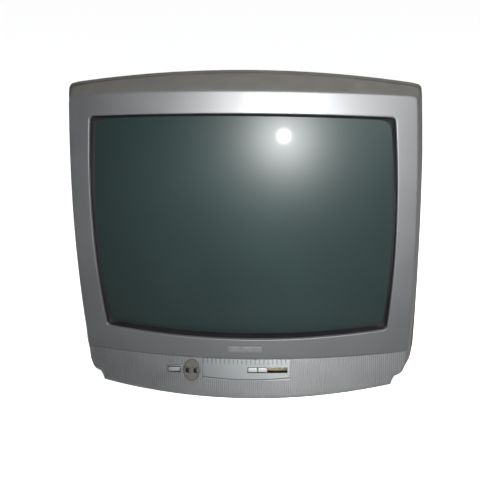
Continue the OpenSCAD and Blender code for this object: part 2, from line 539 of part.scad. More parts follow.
// ---- deflection yoke and purity rings ----
yoke_y = neck_y0 - 42;
module yoke_liner() color([0.85, 0.85, 0.82]) spun([[46, yoke_y - 2], [50, yoke_y - 2], [50, yoke_y + 2], [44.5, yoke_y + 2],
    [22, yoke_y + 52], [22, yoke_y + 72], [neck_r + 0.5, yoke_y + 72], [neck_r + 0.5, yoke_y + 50], [40, yoke_y + 2], [44, yoke_y + 1]]);
module yoke_coils() color([0.55, 0.2, 0.08]) spun([[52, yoke_y + 4], [58, yoke_y + 6], [60, yoke_y + 12], [50, yoke_y + 16], [32, yoke_y + 48],
    [38, yoke_y + 54], [36, yoke_y + 60], [26, yoke_y + 58], [25, yoke_y + 50], [45.5, yoke_y + 6]]);
module yoke_core() color([0.15, 0.15, 0.16]) spun([[51.5, yoke_y + 17.5], [58, yoke_y + 17], [42, yoke_y + 47], [34, yoke_y + 47]]);
module yoke_clamp() color([0.6, 0.6, 0.6]) difference() {
    union() {
        pipe(24.6, 22.2, yoke_y + 63, yoke_y + 71, 0, screen_z);
        block([-4, yoke_y + 63, screen_z + 23], [4, yoke_y + 71, screen_z + 34]);
    }
    block([-1, yoke_y + 60, screen_z + 21], [1, yoke_y + 73, screen_z + 36]);
}
ring_y = yoke_y + 74;
ring_t = 2;
ring_pitch = 2.4;
holder_r = 19;
module ring_holder() color([0.9, 0.9, 0.88]) difference() {
    union() {
        rod(holder_r, ring_y, ring_y + 24, 0, screen_z);
        rod(26, ring_y, ring_y + 2, 0, screen_z);
    }
    rod(neck_r + 0.3, ring_y - 1, ring_y + 30, 0, screen_z);
}
module magnet_ring(k, turn) color([0.2, 0.2, 0.22]) translate([0, ring_y + 2.6 + k * ring_pitch, screen_z]) difference() {
    union() {
        rod(25, 0, ring_t);
        for (w = [turn, turn + 180]) rotate([0, w, 0]) block([-3, 0, 22], [3, ring_t, 33]);
    }
    rod(holder_r + 0.05, -1, ring_t + 1);
}
module purity_ring_1() magnet_ring(0, 10);
module purity_ring_2() magnet_ring(1, -14);
module four_pole_ring_1() magnet_ring(2, 32);
module four_pole_ring_2() magnet_ring(3, 5);
module six_pole_ring_1() magnet_ring(4, -30);
module six_pole_ring_2() magnet_ring(5, 24);
module lock_ring() color([0.8, 0.2, 0.15]) difference() {
    pipe(24, holder_r + 0.05, ring_y + 18, ring_y + 23, 0, screen_z);
    for (w = [0:45:315]) translate([25 * cos(w), 0, screen_z + 25 * sin(w)]) rod(2, ring_y + 17, ring_y + 24);
}

// ---- neck board ----
neck_board_y = neck_y1 + 13;
module tube_socket() color([0.9, 0.9, 0.88]) difference() {
    rod(17, neck_y1 + 5.2, neck_board_y, 0, screen_z);
    pipe(9, 7, neck_y1 + 4, neck_y1 + 11, 0, screen_z);
}
module neck_board() color([0.2, 0.45, 0.25]) {
    block([-45, neck_board_y, screen_z - 50], [45, neck_board_y + 1.6, screen_z + 38]);
    for (x = [-28, 0, 28]) block([x - 7, neck_board_y + 1.6, screen_z - 44], [x + 7, neck_board_y + 9, screen_z - 22]);
}

// ---- main board ----
board_z = base_z + 16;
board_top = board_z + 1.6;
module main_board() color([0.7, 0.5, 0.2]) {
    block([-150, 118, board_z], [150, cabinet_depth - 12, board_top]);
    for (x = [-140, 140], y = [150, cabinet_depth - 90])
        block([x - 4, y - 4, base_z + cover_inset + cover_wall + 0.1], [x + 4, y + 4, board_z]);
}
module flyback() color([0.13, 0.13, 0.14]) difference() {
    union() {
        block([fly_x - 22, fly_y - 20, board_top], [fly_x + 22, fly_y + 30, fly_z + 60]);
        translate([fly_x, fly_y, board_top]) cylinder(r = 19, h = fly_z + 92 - 2.4 - board_top);
        block([fly_x + 22, fly_y - 6, board_top + 6], [fly_x + 40, fly_y + 8, board_top + 52]);
    }
    for (z = [0, 1]) rod(knob_shaft_r, fly_y + 20, fly_y + 31, fly_x, fly_z + 22 + z * 22);
}
knob_shaft_r = 3;
module knob(k) color([0.9, 0.9, 0.88]) translate([fly_x, fly_y + 30.4, fly_z + 22 + k * 22]) {
    rod(knob_shaft_r - 0.05, -8, 1);
    difference() {
        rod(7, 0, 12);
        block([-0.8, 10, -8], [0.8, 13, 8]);
    }
}
module focus_knob() knob(1);
module screen_knob() knob(0);
module power_transformer() color([0.5, 0.35, 0.15]) {
    block([-120, 300, board_top], [-78, 345, board_top + 14]);
    block([-116, 304, board_top + 14], [-82, 341, board_top + 44]);
    for (x = [-50, -25]) pipe(11, 4.5, 170, 182, x, board_top + 11);
}
module capacitors() color([0.1, 0.12, 0.3]) {
    for (c = [[-100, 240, 17, 45], [-60, 300, 9, 28], [-40, 330, 8, 22], [-20, 370, 6.5, 20], [20, 350, 6.5, 20],
            [40, 300, 8, 26], [10, 260, 6.5, 18], [60, 250, 11, 30], [-130, 400, 8, 22], [30, 200, 6.5, 16]])
        translate([c[0], c[1], board_top]) cylinder(r = c[2], h = c[3]);
}
module heatsinks() color([0.7, 0.7, 0.72]) for (s = [[-60, 390, 50], [40, 395, 34], [-135, 270, 44]]) translate([s[0], s[1], board_top]) {
    cube([36, 2.5, s[2]]);
    for (k = [0:4]) translate([k * 8.5, 2.5, 0]) cube([2, 9, s[2]]);
    translate([10, -4.6, s[2] * 0.4]) cube([15, 4.6, 19]);
}
tuner_w = 40;
aerial_r = 4.75;                                   // outside of the standard aerial socket
module tuner() color([0.75, 0.76, 0.76]) difference() {
    union() {
        block([aerial_x - tuner_w / 2, cabinet_depth - 70, board_top], [aerial_x + tuner_w / 2, cabinet_depth - 14, board_top + 26]);
        rod(6.2, cabinet_depth - 15, cabinet_depth, aerial_x, socket_z);
        rod(aerial_r, cabinet_depth - 1, cabinet_depth + jack_out, aerial_x, socket_z);
    }
    rod(3.9, cabinet_depth - 4, cabinet_depth + jack_out + 1, aerial_x, socket_z);
}
module scart_socket() color([0.12, 0.12, 0.12]) difference() {
    block([scart_x - 26, cabinet_depth - 22, board_top], [scart_x + 26, cabinet_depth + 1.5, socket_z + 8]);
    block([scart_x - 23.5, cabinet_depth - 14, socket_z - 5.2], [scart_x + 23.5, cabinet_depth + 2, socket_z + 5.2]);
}
jack_r = 4.15;                                     // outside of a standard phono socket
module av_sockets() color([0.8, 0.75, 0.4]) for (x = jack_x) difference() {
    union() {
        block([x - 6, cabinet_depth - 24, board_top], [x + 6, cabinet_depth - 8, socket_z + 7]);
        rod(5.4, cabinet_depth - 9, cabinet_depth, x, socket_z);
        rod(jack_r, cabinet_depth - 1, cabinet_depth + jack_out, x, socket_z);
    }
    rod(1.65, cabinet_depth - 6, cabinet_depth + jack_out + 1, x, socket_z);
}

// ---- speakers behind the chin ----
speaker_x = 172;
speaker_y = 51;
speaker_z = rib_z - 15;
speaker_a = 45;
speaker_b = 23;
module oval(a, b) {
    for (s = [-1, 1]) translate([s * (a - b), 0]) circle(r = b);
    translate([-(a - b), -b]) square([2 * (a - b), 2 * b]);
}
module speaker() color([0.25, 0.25, 0.27]) translate([0, speaker_y, speaker_z]) {
    difference() {
        prism(0, 3) oval(speaker_a, speaker_b);
        prism(-1, 4) oval(speaker_a - 6, speaker_b - 5);
    }
    for (s = [-1, 1]) block([s * 35 - 6, 2.5, -speaker_b + 5.2 - 3], [s * 35 + 6, 17, -speaker_b + 5.2]);
    for (s = [-1, 1]) block([s * 35 - 6, 2.5, speaker_b - 5.2], [s * 35 + 6, 17, speaker_b - 5.2 + 3]);
    difference() {
        block([-41, 16.5, -speaker_b + 2.2], [41, 19, speaker_b - 2.2]);
        rod(10.5, 10, 30);
    }
    pipe(17, 10.5, 19, 31);
    rod(17, 31, 33);
    rod(6.5, 16, 32);
}
function ellipse_loop(a, b, y) = [for (w = [0:15:345]) [a * sin(w), y, b * cos(w)]];
coil_y = 15;                                       // where the cone meets its voice coil
voice_r = 9.2;
module speaker_cone() color([0.06, 0.06, 0.06]) translate([0, speaker_y, speaker_z]) {
    skin([ellipse_loop(speaker_a - 7, speaker_b - 6, 3.6), ellipse_loop(voice_r - 0.4, voice_r - 0.4, coil_y),
        ellipse_loop(voice_r - 1.3, voice_r - 1.3, coil_y), ellipse_loop(speaker_a - 9, speaker_b - 7.5, 3.6)], ring = true);
    pipe(voice_r, voice_r - 1.8, coil_y - 1, coil_y + 10);
}
module speaker_left() translate([-speaker_x, 0, 0]) speaker();
module speaker_right() translate([speaker_x, 0, 0]) speaker();
module speaker_cone_left() translate([-speaker_x, 0, 0]) speaker_cone();
module speaker_cone_right() translate([speaker_x, 0, 0]) speaker_cone();

// Every piece stands with the middle of the cabinet's underside at the origin
module placed() translate([0, -front_to_centre, 0]) children();
placed() front_bezel();
placed() name_plate();
placed() ir_escutcheon();
placed() ir_lenses();
placed() front_sensors();
placed() power_button();
placed() mains_switch();
placed() front_board();
placed() key_left();
placed() key_right();
placed() bare_plunger_3();
placed() bare_plunger_4();
placed() key_switches();
placed() key_board();
placed() rear_cover();
placed() cord_gland();
placed() rating_label();
placed() cover_screws();
placed() feet();
placed() tube_panel();
placed() tube_funnel();
placed() tube_neck();
placed() tube_base();
placed() electron_gun();
placed() shadow_mask();
placed() mask_frame();
placed() implosion_band();
placed() tube_screws();
placed() degauss_coil();
placed() ground_braid();
placed() anode_cap();
placed() anode_lead();
placed() yoke_liner();
placed() yoke_core();
placed() yoke_coils();
placed() yoke_clamp();
placed() ring_holder();
placed() purity_ring_1();
placed() purity_ring_2();
placed() four_pole_ring_1();
placed() four_pole_ring_2();
placed() six_pole_ring_1();
placed() six_pole_ring_2();
placed() lock_ring();
placed() tube_socket();
placed() neck_board();
placed() main_board();
placed() flyback();
placed() focus_knob();
placed() screen_knob();
placed() power_transformer();
placed() capacitors();
placed() heatsinks();
placed() tuner();
placed() scart_socket();
placed() av_sockets();
placed() speaker_left();
placed() speaker_cone_left();
placed() speaker_right();
placed() speaker_cone_right();
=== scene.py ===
"""A 21-inch cathode ray television: silver front frame, bowed glass, ribbed chin and tapered rear cover."""
import math

import bmesh
import bpy
from mathutils import Matrix, Vector


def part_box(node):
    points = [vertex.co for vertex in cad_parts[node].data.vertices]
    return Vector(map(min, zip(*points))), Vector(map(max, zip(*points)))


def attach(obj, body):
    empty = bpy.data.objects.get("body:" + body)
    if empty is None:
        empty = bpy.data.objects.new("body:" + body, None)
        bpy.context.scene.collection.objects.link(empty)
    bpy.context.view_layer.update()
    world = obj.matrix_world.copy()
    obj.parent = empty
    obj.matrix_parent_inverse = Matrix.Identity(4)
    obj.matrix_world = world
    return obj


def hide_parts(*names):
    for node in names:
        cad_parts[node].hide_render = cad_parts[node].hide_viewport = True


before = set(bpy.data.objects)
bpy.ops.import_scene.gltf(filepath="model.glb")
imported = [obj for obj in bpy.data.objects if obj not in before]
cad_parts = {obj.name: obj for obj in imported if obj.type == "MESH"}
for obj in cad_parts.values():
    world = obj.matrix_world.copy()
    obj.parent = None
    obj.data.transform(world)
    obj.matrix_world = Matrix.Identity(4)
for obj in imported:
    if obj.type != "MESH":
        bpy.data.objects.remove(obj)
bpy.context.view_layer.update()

# ---- Camera, floor and light ----
# The set is seen from a little above and to its right, as a person in front of a low table sees it.
# Sizes are in millimetres: x to the right, y into the set from the middle of the frame's front, z up.
CHIN_REACH = 5.26
SHIFT_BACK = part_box("front_bezel")[0].y * 1000 + CHIN_REACH


def at(x, y, z):
    """A place in the frame, in metres, from millimetres."""
    return Vector((x, y + SHIFT_BACK, z)) / 1000


def aim(place, turn, tilt, lean):
    """A camera's place: it looks along +Y, turned right, tilted down and leaning, all in degrees."""
    turn, tilt, lean = (math.radians(a) for a in (turn, tilt, lean))
    look = Vector((math.sin(turn) * math.cos(tilt), math.cos(turn) * math.cos(tilt), -math.sin(tilt)))
    level = Vector((math.cos(turn), -math.sin(turn), 0))
    up = level.cross(look)
    right = level * math.cos(lean) + up * math.sin(lean)
    up = up * math.cos(lean) - level * math.sin(lean)
    turned = Matrix((right, up, -look)).transposed().to_4x4()
    return Matrix.Translation(place) @ turned


camera = bpy.data.objects.new("camera", bpy.data.cameras.new("camera"))
bpy.context.collection.objects.link(camera)
EYE = (103.4, -945.5, 560.2)
TURN, TILT, LEAN = -2.305, 17.892, -0.067
camera.matrix_world = aim(at(*EYE), TURN, TILT, LEAN)
camera.data.sensor_width = 36
camera.data.lens = 55.297
camera.data.shift_x = -0.1031
camera.data.shift_y = -0.0169
bpy.context.scene.camera = camera


def shader(material):
    """The material's main shader."""
    return material.node_tree.nodes["Principled BSDF"]


def new_material(name, colour, roughness, metallic=0.0):
    material = bpy.data.materials.new(name)
    material.use_nodes = True
    main = shader(material)
    main.inputs["Base Color"].default_value = (*colour, 1)
    main.inputs["Roughness"].default_value = roughness
    main.inputs["Metallic"].default_value = metallic
    return material


def soft_light(name, place, target, size, power, spread):
    """A square soft box that faces the target. A grid keeps its light within the spread, in degrees."""
    lamp = bpy.data.lights.new(name, "AREA")
    lamp.size = size
    lamp.energy = power
    lamp.spread = math.radians(spread)
    box = bpy.data.objects.new(name, lamp)
    bpy.context.collection.objects.link(box)
    box.location = place
    box.rotation_euler = (target - place).to_track_quat("-Z", "Y").to_euler()


def link(tree, source, output, target, socket):
    tree.links.new(source.outputs[output], target.inputs[socket])


# a pale room, brighter behind the camera on its right
world = bpy.data.worlds.new("studio")
bpy.context.scene.world = world
world.use_nodes = True
room = world.node_tree
BRIGHT_SIDE = Vector((0.4, -0.87, 0.28)).normalized()
direction = room.nodes.new("ShaderNodeTexCoord")
towards = room.nodes.new("ShaderNodeVectorMath")
towards.operation = "DOT_PRODUCT"
towards.inputs[1].default_value = BRIGHT_SIDE
fade = room.nodes.new("ShaderNodeMapRange")
fade.interpolation_type = "SMOOTHSTEP"
for socket, value in (("From Min", 0.55), ("From Max", 1.0), ("To Min", 0.13), ("To Max", 0.7)):
    fade.inputs[socket].default_value = value
link(room, direction, "Generated", towards, 0)
link(room, towards, "Value", fade, "Value")
link(room, fade, "Result", room.nodes["Background"], "Strength")
room.nodes["Background"].inputs["Color"].default_value = (0.97, 0.98, 1, 1)
bpy.context.scene.view_settings.view_transform = "Standard"

FLOOR_REACH = 400                        # metres, so that the floor runs on to the horizon
floor_corners = [(x * FLOOR_REACH, y * FLOOR_REACH, 0) for x, y in ((-1, -1), (1, -1), (1, 1), (-1, 1))]
floor_mesh = bpy.data.meshes.new("floor")
floor_mesh.from_pydata(floor_corners, [], [(0, 1, 2, 3)])
floor = bpy.data.objects.new("floor", floor_mesh)
bpy.context.collection.objects.link(floor)
floor.data.materials.append(new_material("pale_floor", (0.86, 0.86, 0.86), 0.9))

ceiling = bpy.data.objects.new("ceiling_light", bpy.data.lights.new("ceiling_light", "SUN"))
bpy.context.collection.objects.link(ceiling)
ceiling.data.energy = 3.2
ceiling.data.angle = math.radians(75)
ceiling.rotation_euler = (math.radians(8), math.radians(-6), 0)
soft_light("flash", at(137, -1070, 482), at(60, 40, 335), 0.04, 12.2, 46)
soft_light("window", at(1500, -2200, 1250), at(0, 40, 300), 0.9, 9.5, 30)

# ---- Front frame ----
# One injection moulding in warm grey plastic. Its face is bowed both ways and sprayed with silver paint;
# the flanks and the hood on top stay bare. The inner wall round the glass is blackened, and its colour is made
# darker still as painted shade of the narrow gap down to the glass.
OPENING_A, OPENING_B = 205, 154          # half sizes of the opening between its corners
SIDE_BOW, TOP_BOW = 7, 8
SCREEN_Z = 250
PLAN_R, PROFILE_R = 830, 1290
RIB_Z = 55                               # line between the border and the chin
CHIN_H, CHIN_LEAN = 53, 20
CHIN_FOOT, CHIN_SAG = 1, 9.6
FACE_HALF_W, SIDE_TAPER, WIDEST_Z = 241, 6.5, 180
FACE_TOP, TOP_SAG = 441.5, 8.2
RIM_Y, RIM_SAG, HOOD_RISE, FLARE = 78, 13, 20.5, 10.5
PLINTH_W, PLINTH_TOP, BASE_Z = 213, 22, 8
GLASS_R, GLASS_BACK = 950, 10.5


def lerp(a, b, t):
    return a + (b - a) * t


def steps(a, b, n):
    """n + 1 even values from a to b."""
    return [lerp(a, b, k / n) for k in range(n + 1)]


def border_y(x, z):
    return x * x / (2 * PLAN_R) + (z - SCREEN_Z) ** 2 / (2 * PROFILE_R)


def face_y(x, z):
    """The front surface: the bowed border, and under it the chin that leans out to its foot."""
    if z >= RIB_Z:
        return border_y(x, z)
    return border_y(x, RIB_Z) - CHIN_LEAN * (RIB_Z - z) / CHIN_H


def glass_y(x, z):
    return GLASS_BACK + (x * x + (z - SCREEN_Z) ** 2) / (2 * GLASS_R)


def half_w(z):
    return FACE_HALF_W - SIDE_TAPER * ((z - WIDEST_Z) / 250) ** 2


def top_z(x):
    return FACE_TOP - TOP_SAG * (x / OPENING_A) ** 2


def rim_top_z(x):
    return FACE_TOP + HOOD_RISE - RIM_SAG * (x / OPENING_A) ** 2


def foot_z(x):
    return CHIN_FOOT + CHIN_SAG * (x / OPENING_A) ** 2


def shade(mesh, crease=32):
    """Smooth shading, with the edges sharper than the crease angle kept crisp."""
    work = bmesh.new()
    work.from_mesh(mesh)
    for face in work.faces:
        face.smooth = True
    for edge in work.edges:
        edge.smooth = len(edge.link_faces) == 2 and edge.calc_face_angle(0) < math.radians(crease)
    work.to_mesh(mesh)
    work.free()


def finish_piece(name, mesh, materials, body, stands_for=()):
    """Makes a mesh an object that rides on a body and stands for CAD nodes."""
    piece = bpy.data.objects.new(name, mesh)
    bpy.context.collection.objects.link(piece)
    for material in materials:
        mesh.materials.append(material)
    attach(piece, body)
    if stands_for:
        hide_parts(*stands_for)
    return piece


class Skin:
    """Gathers patches of quads, in millimetres, and welds them into one mesh."""

    def __init__(self):
        self.work = bmesh.new()

    def patch(self, rows, closed=False, slot=0, keep=None):
        """Quads between rows of points. keep(x, z) says which quads stay, by their middle."""
        grid = [[self.work.verts.new(at(*p)) for p in row] for row in rows]
        count = len(rows[0])
        for k in range(len(rows) - 1):
            for i in range(count if closed else count - 1):
                j = (i + 1) % count
                corners = [grid[k][i], grid[k][j], grid[k + 1][j], grid[k + 1][i]]
                spots = [rows[k][i], rows[k][j], rows[k + 1][j], rows[k + 1][i]]
                if keep and not keep(sum(p[0] for p in spots) / 4, sum(p[2] for p in spots) / 4):
                    continue
                face = self.work.faces.new(corners)
                face.material_index = slot(k) if callable(slot) else slot

    def cap(self, loop):
        """A flat fan that closes a loop."""
        points = [Vector(p) for p in loop]
        centre = sum(points, Vector()) / len(points)
        middle_point = self.work.verts.new(at(*centre))
        ring = [self.work.verts.new(at(*p)) for p in points]
        for i, corner in enumerate(ring):
            self.work.faces.new((corner, ring[(i + 1) % len(ring)], middle_point))

    def lid(self, loop):
        """One flat face that closes a loop."""
        self.work.faces.new([self.work.verts.new(at(*p)) for p in loop])

    def mesh(self, name, crease=32, weld=0.02, outward=False):
        bmesh.ops.remove_doubles(self.work, verts=self.work.verts, dist=weld / 1000)
        bmesh.ops.dissolve_degenerate(self.work, edges=self.work.edges, dist=weld / 2000)
        loose = [v for v in self.work.verts if not v.link_faces]
        bmesh.ops.delete(self.work, geom=loose, context="VERTS")
        if outward:
            bmesh.ops.recalc_face_normals(self.work, faces=self.work.faces)
        made = bpy.data.meshes.new(name)
        self.work.to_mesh(made)
        self.work.free()
        shade(made, crease)
        return made


TOP_N, SIDE_N, CORNER_N = 84, 64, 6


def mirrored(half):
    """A whole loop from its right half, which runs from the top to the bottom of the middle line."""
    return half + [(-x, z) for x, z in reversed(half[1:-1])]


def opening_half(grow, radius):
    """Right half of the opening's bowed outline, grown outwards, with rounded corners."""
    a, b = OPENING_A + grow, OPENING_B + grow

    def bow(x, z):
        return (x + SIDE_BOW * (1 - (z / b) ** 2) * x / a,
                SCREEN_Z + z + TOP_BOW * (1 - (x / a) ** 2) * z / b)

    points = [bow(t * (a - radius), b) for t in steps(0, 1, TOP_N // 2)]
    turn = [(a - radius + radius * math.sin(w), b - radius + radius * math.cos(w))
            for w in steps(0, math.pi / 2, CORNER_N)]
    points += [bow(x, z) for x, z in turn[1:]]
    points += [bow(a, z) for z in steps(b - radius, radius - b, SIDE_N)[1:]]
    points += [bow(x, -z) for x, z in reversed(turn[:-1])]
    points += [bow(t * (a - radius), -b) for t in steps(1, 0, TOP_N // 2)[1:]]
    return points


CORNER_R = 7                             # radius of the face's top corners
CORNER_Z = top_z(half_w(FACE_TOP - 11))


def corner_points(inset):
    """The top right corner's arc on the face's outline."""
    x1 = half_w(CORNER_Z) - inset
    z1 = top_z(x1) - inset
    radius = max(CORNER_R - inset, 1)
    return [(x1 - radius + radius * math.sin(w), z1 - radius + radius * math.cos(w))
            for w in steps(0, math.pi / 2, CORNER_N)]


def border_half(inset):
    """Right half of the border's outer edge: the face's outline, then the rib line along the bottom."""
    turn = corner_points(inset)
    points = [(t * turn[0][0], top_z(t * turn[0][0]) - inset) for t in steps(0, 1, TOP_N // 2)]
    points[-1] = turn[0]
    points += turn[1:]
    points += [(half_w(z) - inset, z) for z in steps(turn[-1][1], RIB_Z, SIDE_N)[1:]]
    points += [(half_w(RIB_Z) - inset, RIB_Z)] * CORNER_N
    points += [(t * (half_w(RIB_Z) - inset), RIB_Z) for t in steps(1, 0, TOP_N // 2)[1:]]
    return points


CHIN_CORNER = [(0, 0), (-3, -17), (-8, -27)]   # down the body's corner, from the rib line's end


def chin_half():
    """Right half of the chin's outline, from the rib line's end to the middle of its foot."""
    w = half_w(RIB_Z)
    corner = [(w + dx, RIB_Z + dz) for dx, dz in CHIN_CORNER]
    corner += [(w - 12, PLINTH_TOP + 2.5), (PLINTH_W + 6, PLINTH_TOP), (PLINTH_W + 2.5, PLINTH_TOP - 5)]
    points = []
    for (x0, z0), (x1, z1) in zip(corner, corner[1:] + [(PLINTH_W, foot_z(PLINTH_W))]):
        points += [(lerp(x0, x1, t), lerp(z0, z1, t)) for t in steps(0, 1, 4)[:-1]]
    return points + [(x, foot_z(x)) for x in steps(PLINTH_W, 0, 60)]


def outline_half():
    """Right half of the whole face's outline, from the top's middle to the foot's middle."""
    return border_half(0)[:TOP_N // 2 + CORNER_N + SIDE_N + 1] + chin_half()[1:]


def shrink(points, inset):
    """Moves each point of a half outline inwards along its own normal."""
    moved = []
    for i, (x, z) in enumerate(points):
        before, after = points[max(i - 1, 0)], points[min(i + 1, len(points) - 1)]
        dx, dz = after[0] - before[0], after[1] - before[1]
        span = math.hypot(dx, dz) or 1
        moved.append((max(x + inset * dz / span, 0) if 0 < i < len(points) - 1 else 0, z - inset * dx / span))
    return moved


def rim_half():
    """Right half of the rear rim, point by point against the face's outline."""
    points = []
    outline = outline_half()
    edge = half_w(CORNER_Z)
    for i, (x, z) in enumerate(outline):
        if i <= TOP_N // 2 + CORNER_N:
            wide = x * (edge + FLARE - 2) / edge
            points.append((wide, z + rim_top_z(wide) - top_z(x)))
        elif z > RIB_Z:
            share = (CORNER_Z - z) / (CORNER_Z - RIB_Z)
            corner_rise = rim_top_z(edge + FLARE - 2) - top_z(edge)
            points.append((x + FLARE - 2 + 2 * min(1, 4 * share), z + corner_rise * max(0, 1 - share)))
        else:
            wide = x * (1 + FLARE / FACE_HALF_W)
            low = BASE_Z if x < PLINTH_W + 1 else max(PLINTH_TOP, z - 6 * min(1, (RIB_Z - z) / 15))
            points.append((wide, low))
    return points


NOISE_DETAIL, NOISE_SPAN = 4, (0.3, 0.7)  # octaves, and the part of the noise that the finishes use
GRAIN_HEIGHT = 0.0004                     # metres


def grained(name, colour, roughness, metallic=0.0, scale=60, contrast=0.25, bump=0.0, gloss_range=0.1,
            stretch=(1, 1, 1)):
    """A finish whose colour and gloss change with a soft noise, which also raises its surface a little."""
    material = new_material(name, colour, roughness, metallic)
    tree, main = material.node_tree, shader(material)
    place = tree.nodes.new("ShaderNodeTexCoord")
    stretched = tree.nodes.new("ShaderNodeVectorMath")
    stretched.operation = "MULTIPLY"
    stretched.inputs[1].default_value = stretch
    noise = tree.nodes.new("ShaderNodeTexNoise")
    noise.inputs["Scale"].default_value = scale
    noise.inputs["Detail"].default_value = NOISE_DETAIL
    tint = tree.nodes.new("ShaderNodeValToRGB")
    base = main.inputs["Base Color"].default_value[:3]
    for stop, edge, share in zip(tint.color_ramp.elements, NOISE_SPAN, (1 - contrast, 1 + contrast)):
        stop.position = edge
        stop.color = (*[c * share for c in base], 1)
    gloss = tree.nodes.new("ShaderNodeMapRange")
    middle = main.inputs["Roughness"].default_value
    for socket, value in (("From Min", NOISE_SPAN[0]), ("From Max", NOISE_SPAN[1]),
                          ("To Min", middle - gloss_range / 2), ("To Max", middle + gloss_range / 2)):
        gloss.inputs[socket].default_value = value
    link(tree, place, "Object", stretched, 0)
    link(tree, stretched, "Vector", noise, "Vector")
    link(tree, noise, "Fac", tint, "Fac")
    link(tree, tint, "Color", main, "Base Color")
    link(tree, noise, "Fac", gloss, "Value")
    link(tree, gloss, "Result", main, "Roughness")
    if bump:
        relief = tree.nodes.new("ShaderNodeBump")
        relief.inputs["Strength"].default_value = bump
        relief.inputs["Distance"].default_value = GRAIN_HEIGHT
        link(tree, noise, "Fac", relief, "Height")
        link(tree, relief, "Normal", main, "Normal")
    return material


silver_paint = grained("silver_paint", (0.0195, 0.0202, 0.0208), 0.5, 0.45, 16, 0.05, 0.02)
bare_plastic = grained("bare_grey_plastic", (0.0215, 0.0209, 0.0188), 0.65, 0, 60, 0.12, 0.12)
for finish, level in ((silver_paint, 0.22), (bare_plastic, 0.1)):
    shader(finish).inputs["Specular IOR Level"].default_value = level
# painted shade: the wall round the glass is coloured far darker than black plastic, for the shade in the gap to
# the glass
wall_black_and_shade = grained("wall_black_and_shade", (0.0012, 0.0012, 0.0014), 0.7, 0, 40, 0.3)
# painted shade: the key slots' walls and the inner wall of the mains button's window are coloured near-black
# for the shade inside them
painted_slot_shade = grained("painted_slot_shade", (0.002, 0.002, 0.002), 0.7, 0, 40, 0.3)
for finish in (wall_black_and_shade, painted_slot_shade):
    shader(finish).inputs["Specular IOR Level"].default_value = 0.04

EDGE = 1.6                               # radius of the opening's silver edge
LIP = 4.5                                # width of the blackened wall, down to the glass
BORDER_STEPS = 12
FILLET = 2.2                             # radius of the face's outer edge
STEP_DROP = 0.35                         # height of the step between the border and the chin
frame_skin = Skin()
# each loop of the blackened wall: its growth, corner radius and depth, and whether it lies on the glass
wall = [(-LIP - 1.5, 15, 0.3, True), (-LIP, 13, -0.4, True), (-2, 6, 6, False), (-0.6, 5.5, 3.6, False)]
wall_loops = []
for grow, radius, back, on_glass in wall:
    wall_loops.append([(x, (glass_y if on_glass else border_y)(x, z) + back, z)
                       for x, z in mirrored(opening_half(grow, radius))])
edge_loops = [wall_loops[-1]]
for w in steps(0, math.pi / 2, 4):
    grow, back = EDGE * (1 - math.cos(w)), EDGE * (1 - math.sin(w))
    edge_loops.append([(x, border_y(x, z) + back, z) for x, z in mirrored(opening_half(grow, 5 + grow))])
inner, outer = opening_half(EDGE, 5 + EDGE), border_half(FILLET)
for t in steps(0, 1, BORDER_STEPS)[1:]:
    between = [(lerp(p[0], q[0], t), lerp(p[1], q[1], t)) for p, q in zip(inner, outer)]
    edge_loops.append([(x, border_y(x, z), z) for x, z in mirrored(between)])
frame_skin.patch(wall_loops[:3], closed=True, slot=2)
frame_skin.patch(wall_loops[2:], closed=True, slot=2)
frame_skin.patch(edge_loops, closed=True, slot=0)
# the border ends over the chin in a small step
step_x = steps(FILLET - half_w(RIB_Z), half_w(RIB_Z) - FILLET, TOP_N)
frame_skin.patch([[(x, border_y(x, RIB_Z) + back, RIB_Z - drop) for x in reversed(step_x)]
                  for back, drop in ((0, 0), (STEP_DROP, STEP_DROP), (2.6, STEP_DROP))], slot=0)
# rounded outer edge, flank, and the rim turned in towards the rear cover
outline, rim = outline_half(), rim_half()
inset_line = shrink(outline, FILLET)
flank_loops = []
for t in steps(0, 1, 5):
    loop = []
    for (xi, zi), (xo, zo), (xr, zr) in zip(inset_line, outline, rim):
        start = Vector((xi, face_y(xi, zi), zi))
        corner = Vector((xo, face_y(xo, zo), zo))
        back = Vector((xr, RIM_Y, zr))
        end = corner + (back - corner).normalized() * FILLET
        loop.append(start * (1 - t) ** 2 + corner * 2 * t * (1 - t) + end * t * t)
    flank_loops.append(loop)
first = flank_loops[-1]
for t in (0.12, 0.25, 0.4, 0.55, 0.7, 0.85, 0.965):
    flank_loops.append([p.lerp(Vector((xr, RIM_Y, zr)), t) for p, (xr, zr) in zip(first, rim)])
for inset, y in ((0.5, RIM_Y - 0.4), (1.2, RIM_Y), (3, RIM_Y), (3, RIM_Y - 12)):
    flank_loops.append([Vector((x, y, z)) for x, z in shrink(rim, inset)])
whole = [[tuple(p) for p in loop] + [(-p.x, p.y, p.z) for p in reversed(loop[1:-1])] for loop in flank_loops]
frame_skin.patch(whole, closed=True, slot=lambda k: 0 if k < 4 else 1)
finish_piece("front_frame", frame_skin.mesh("front_frame", 40), [silver_paint, bare_plastic, wall_black_and_shade],
             "cabinet", ["front_bezel"])

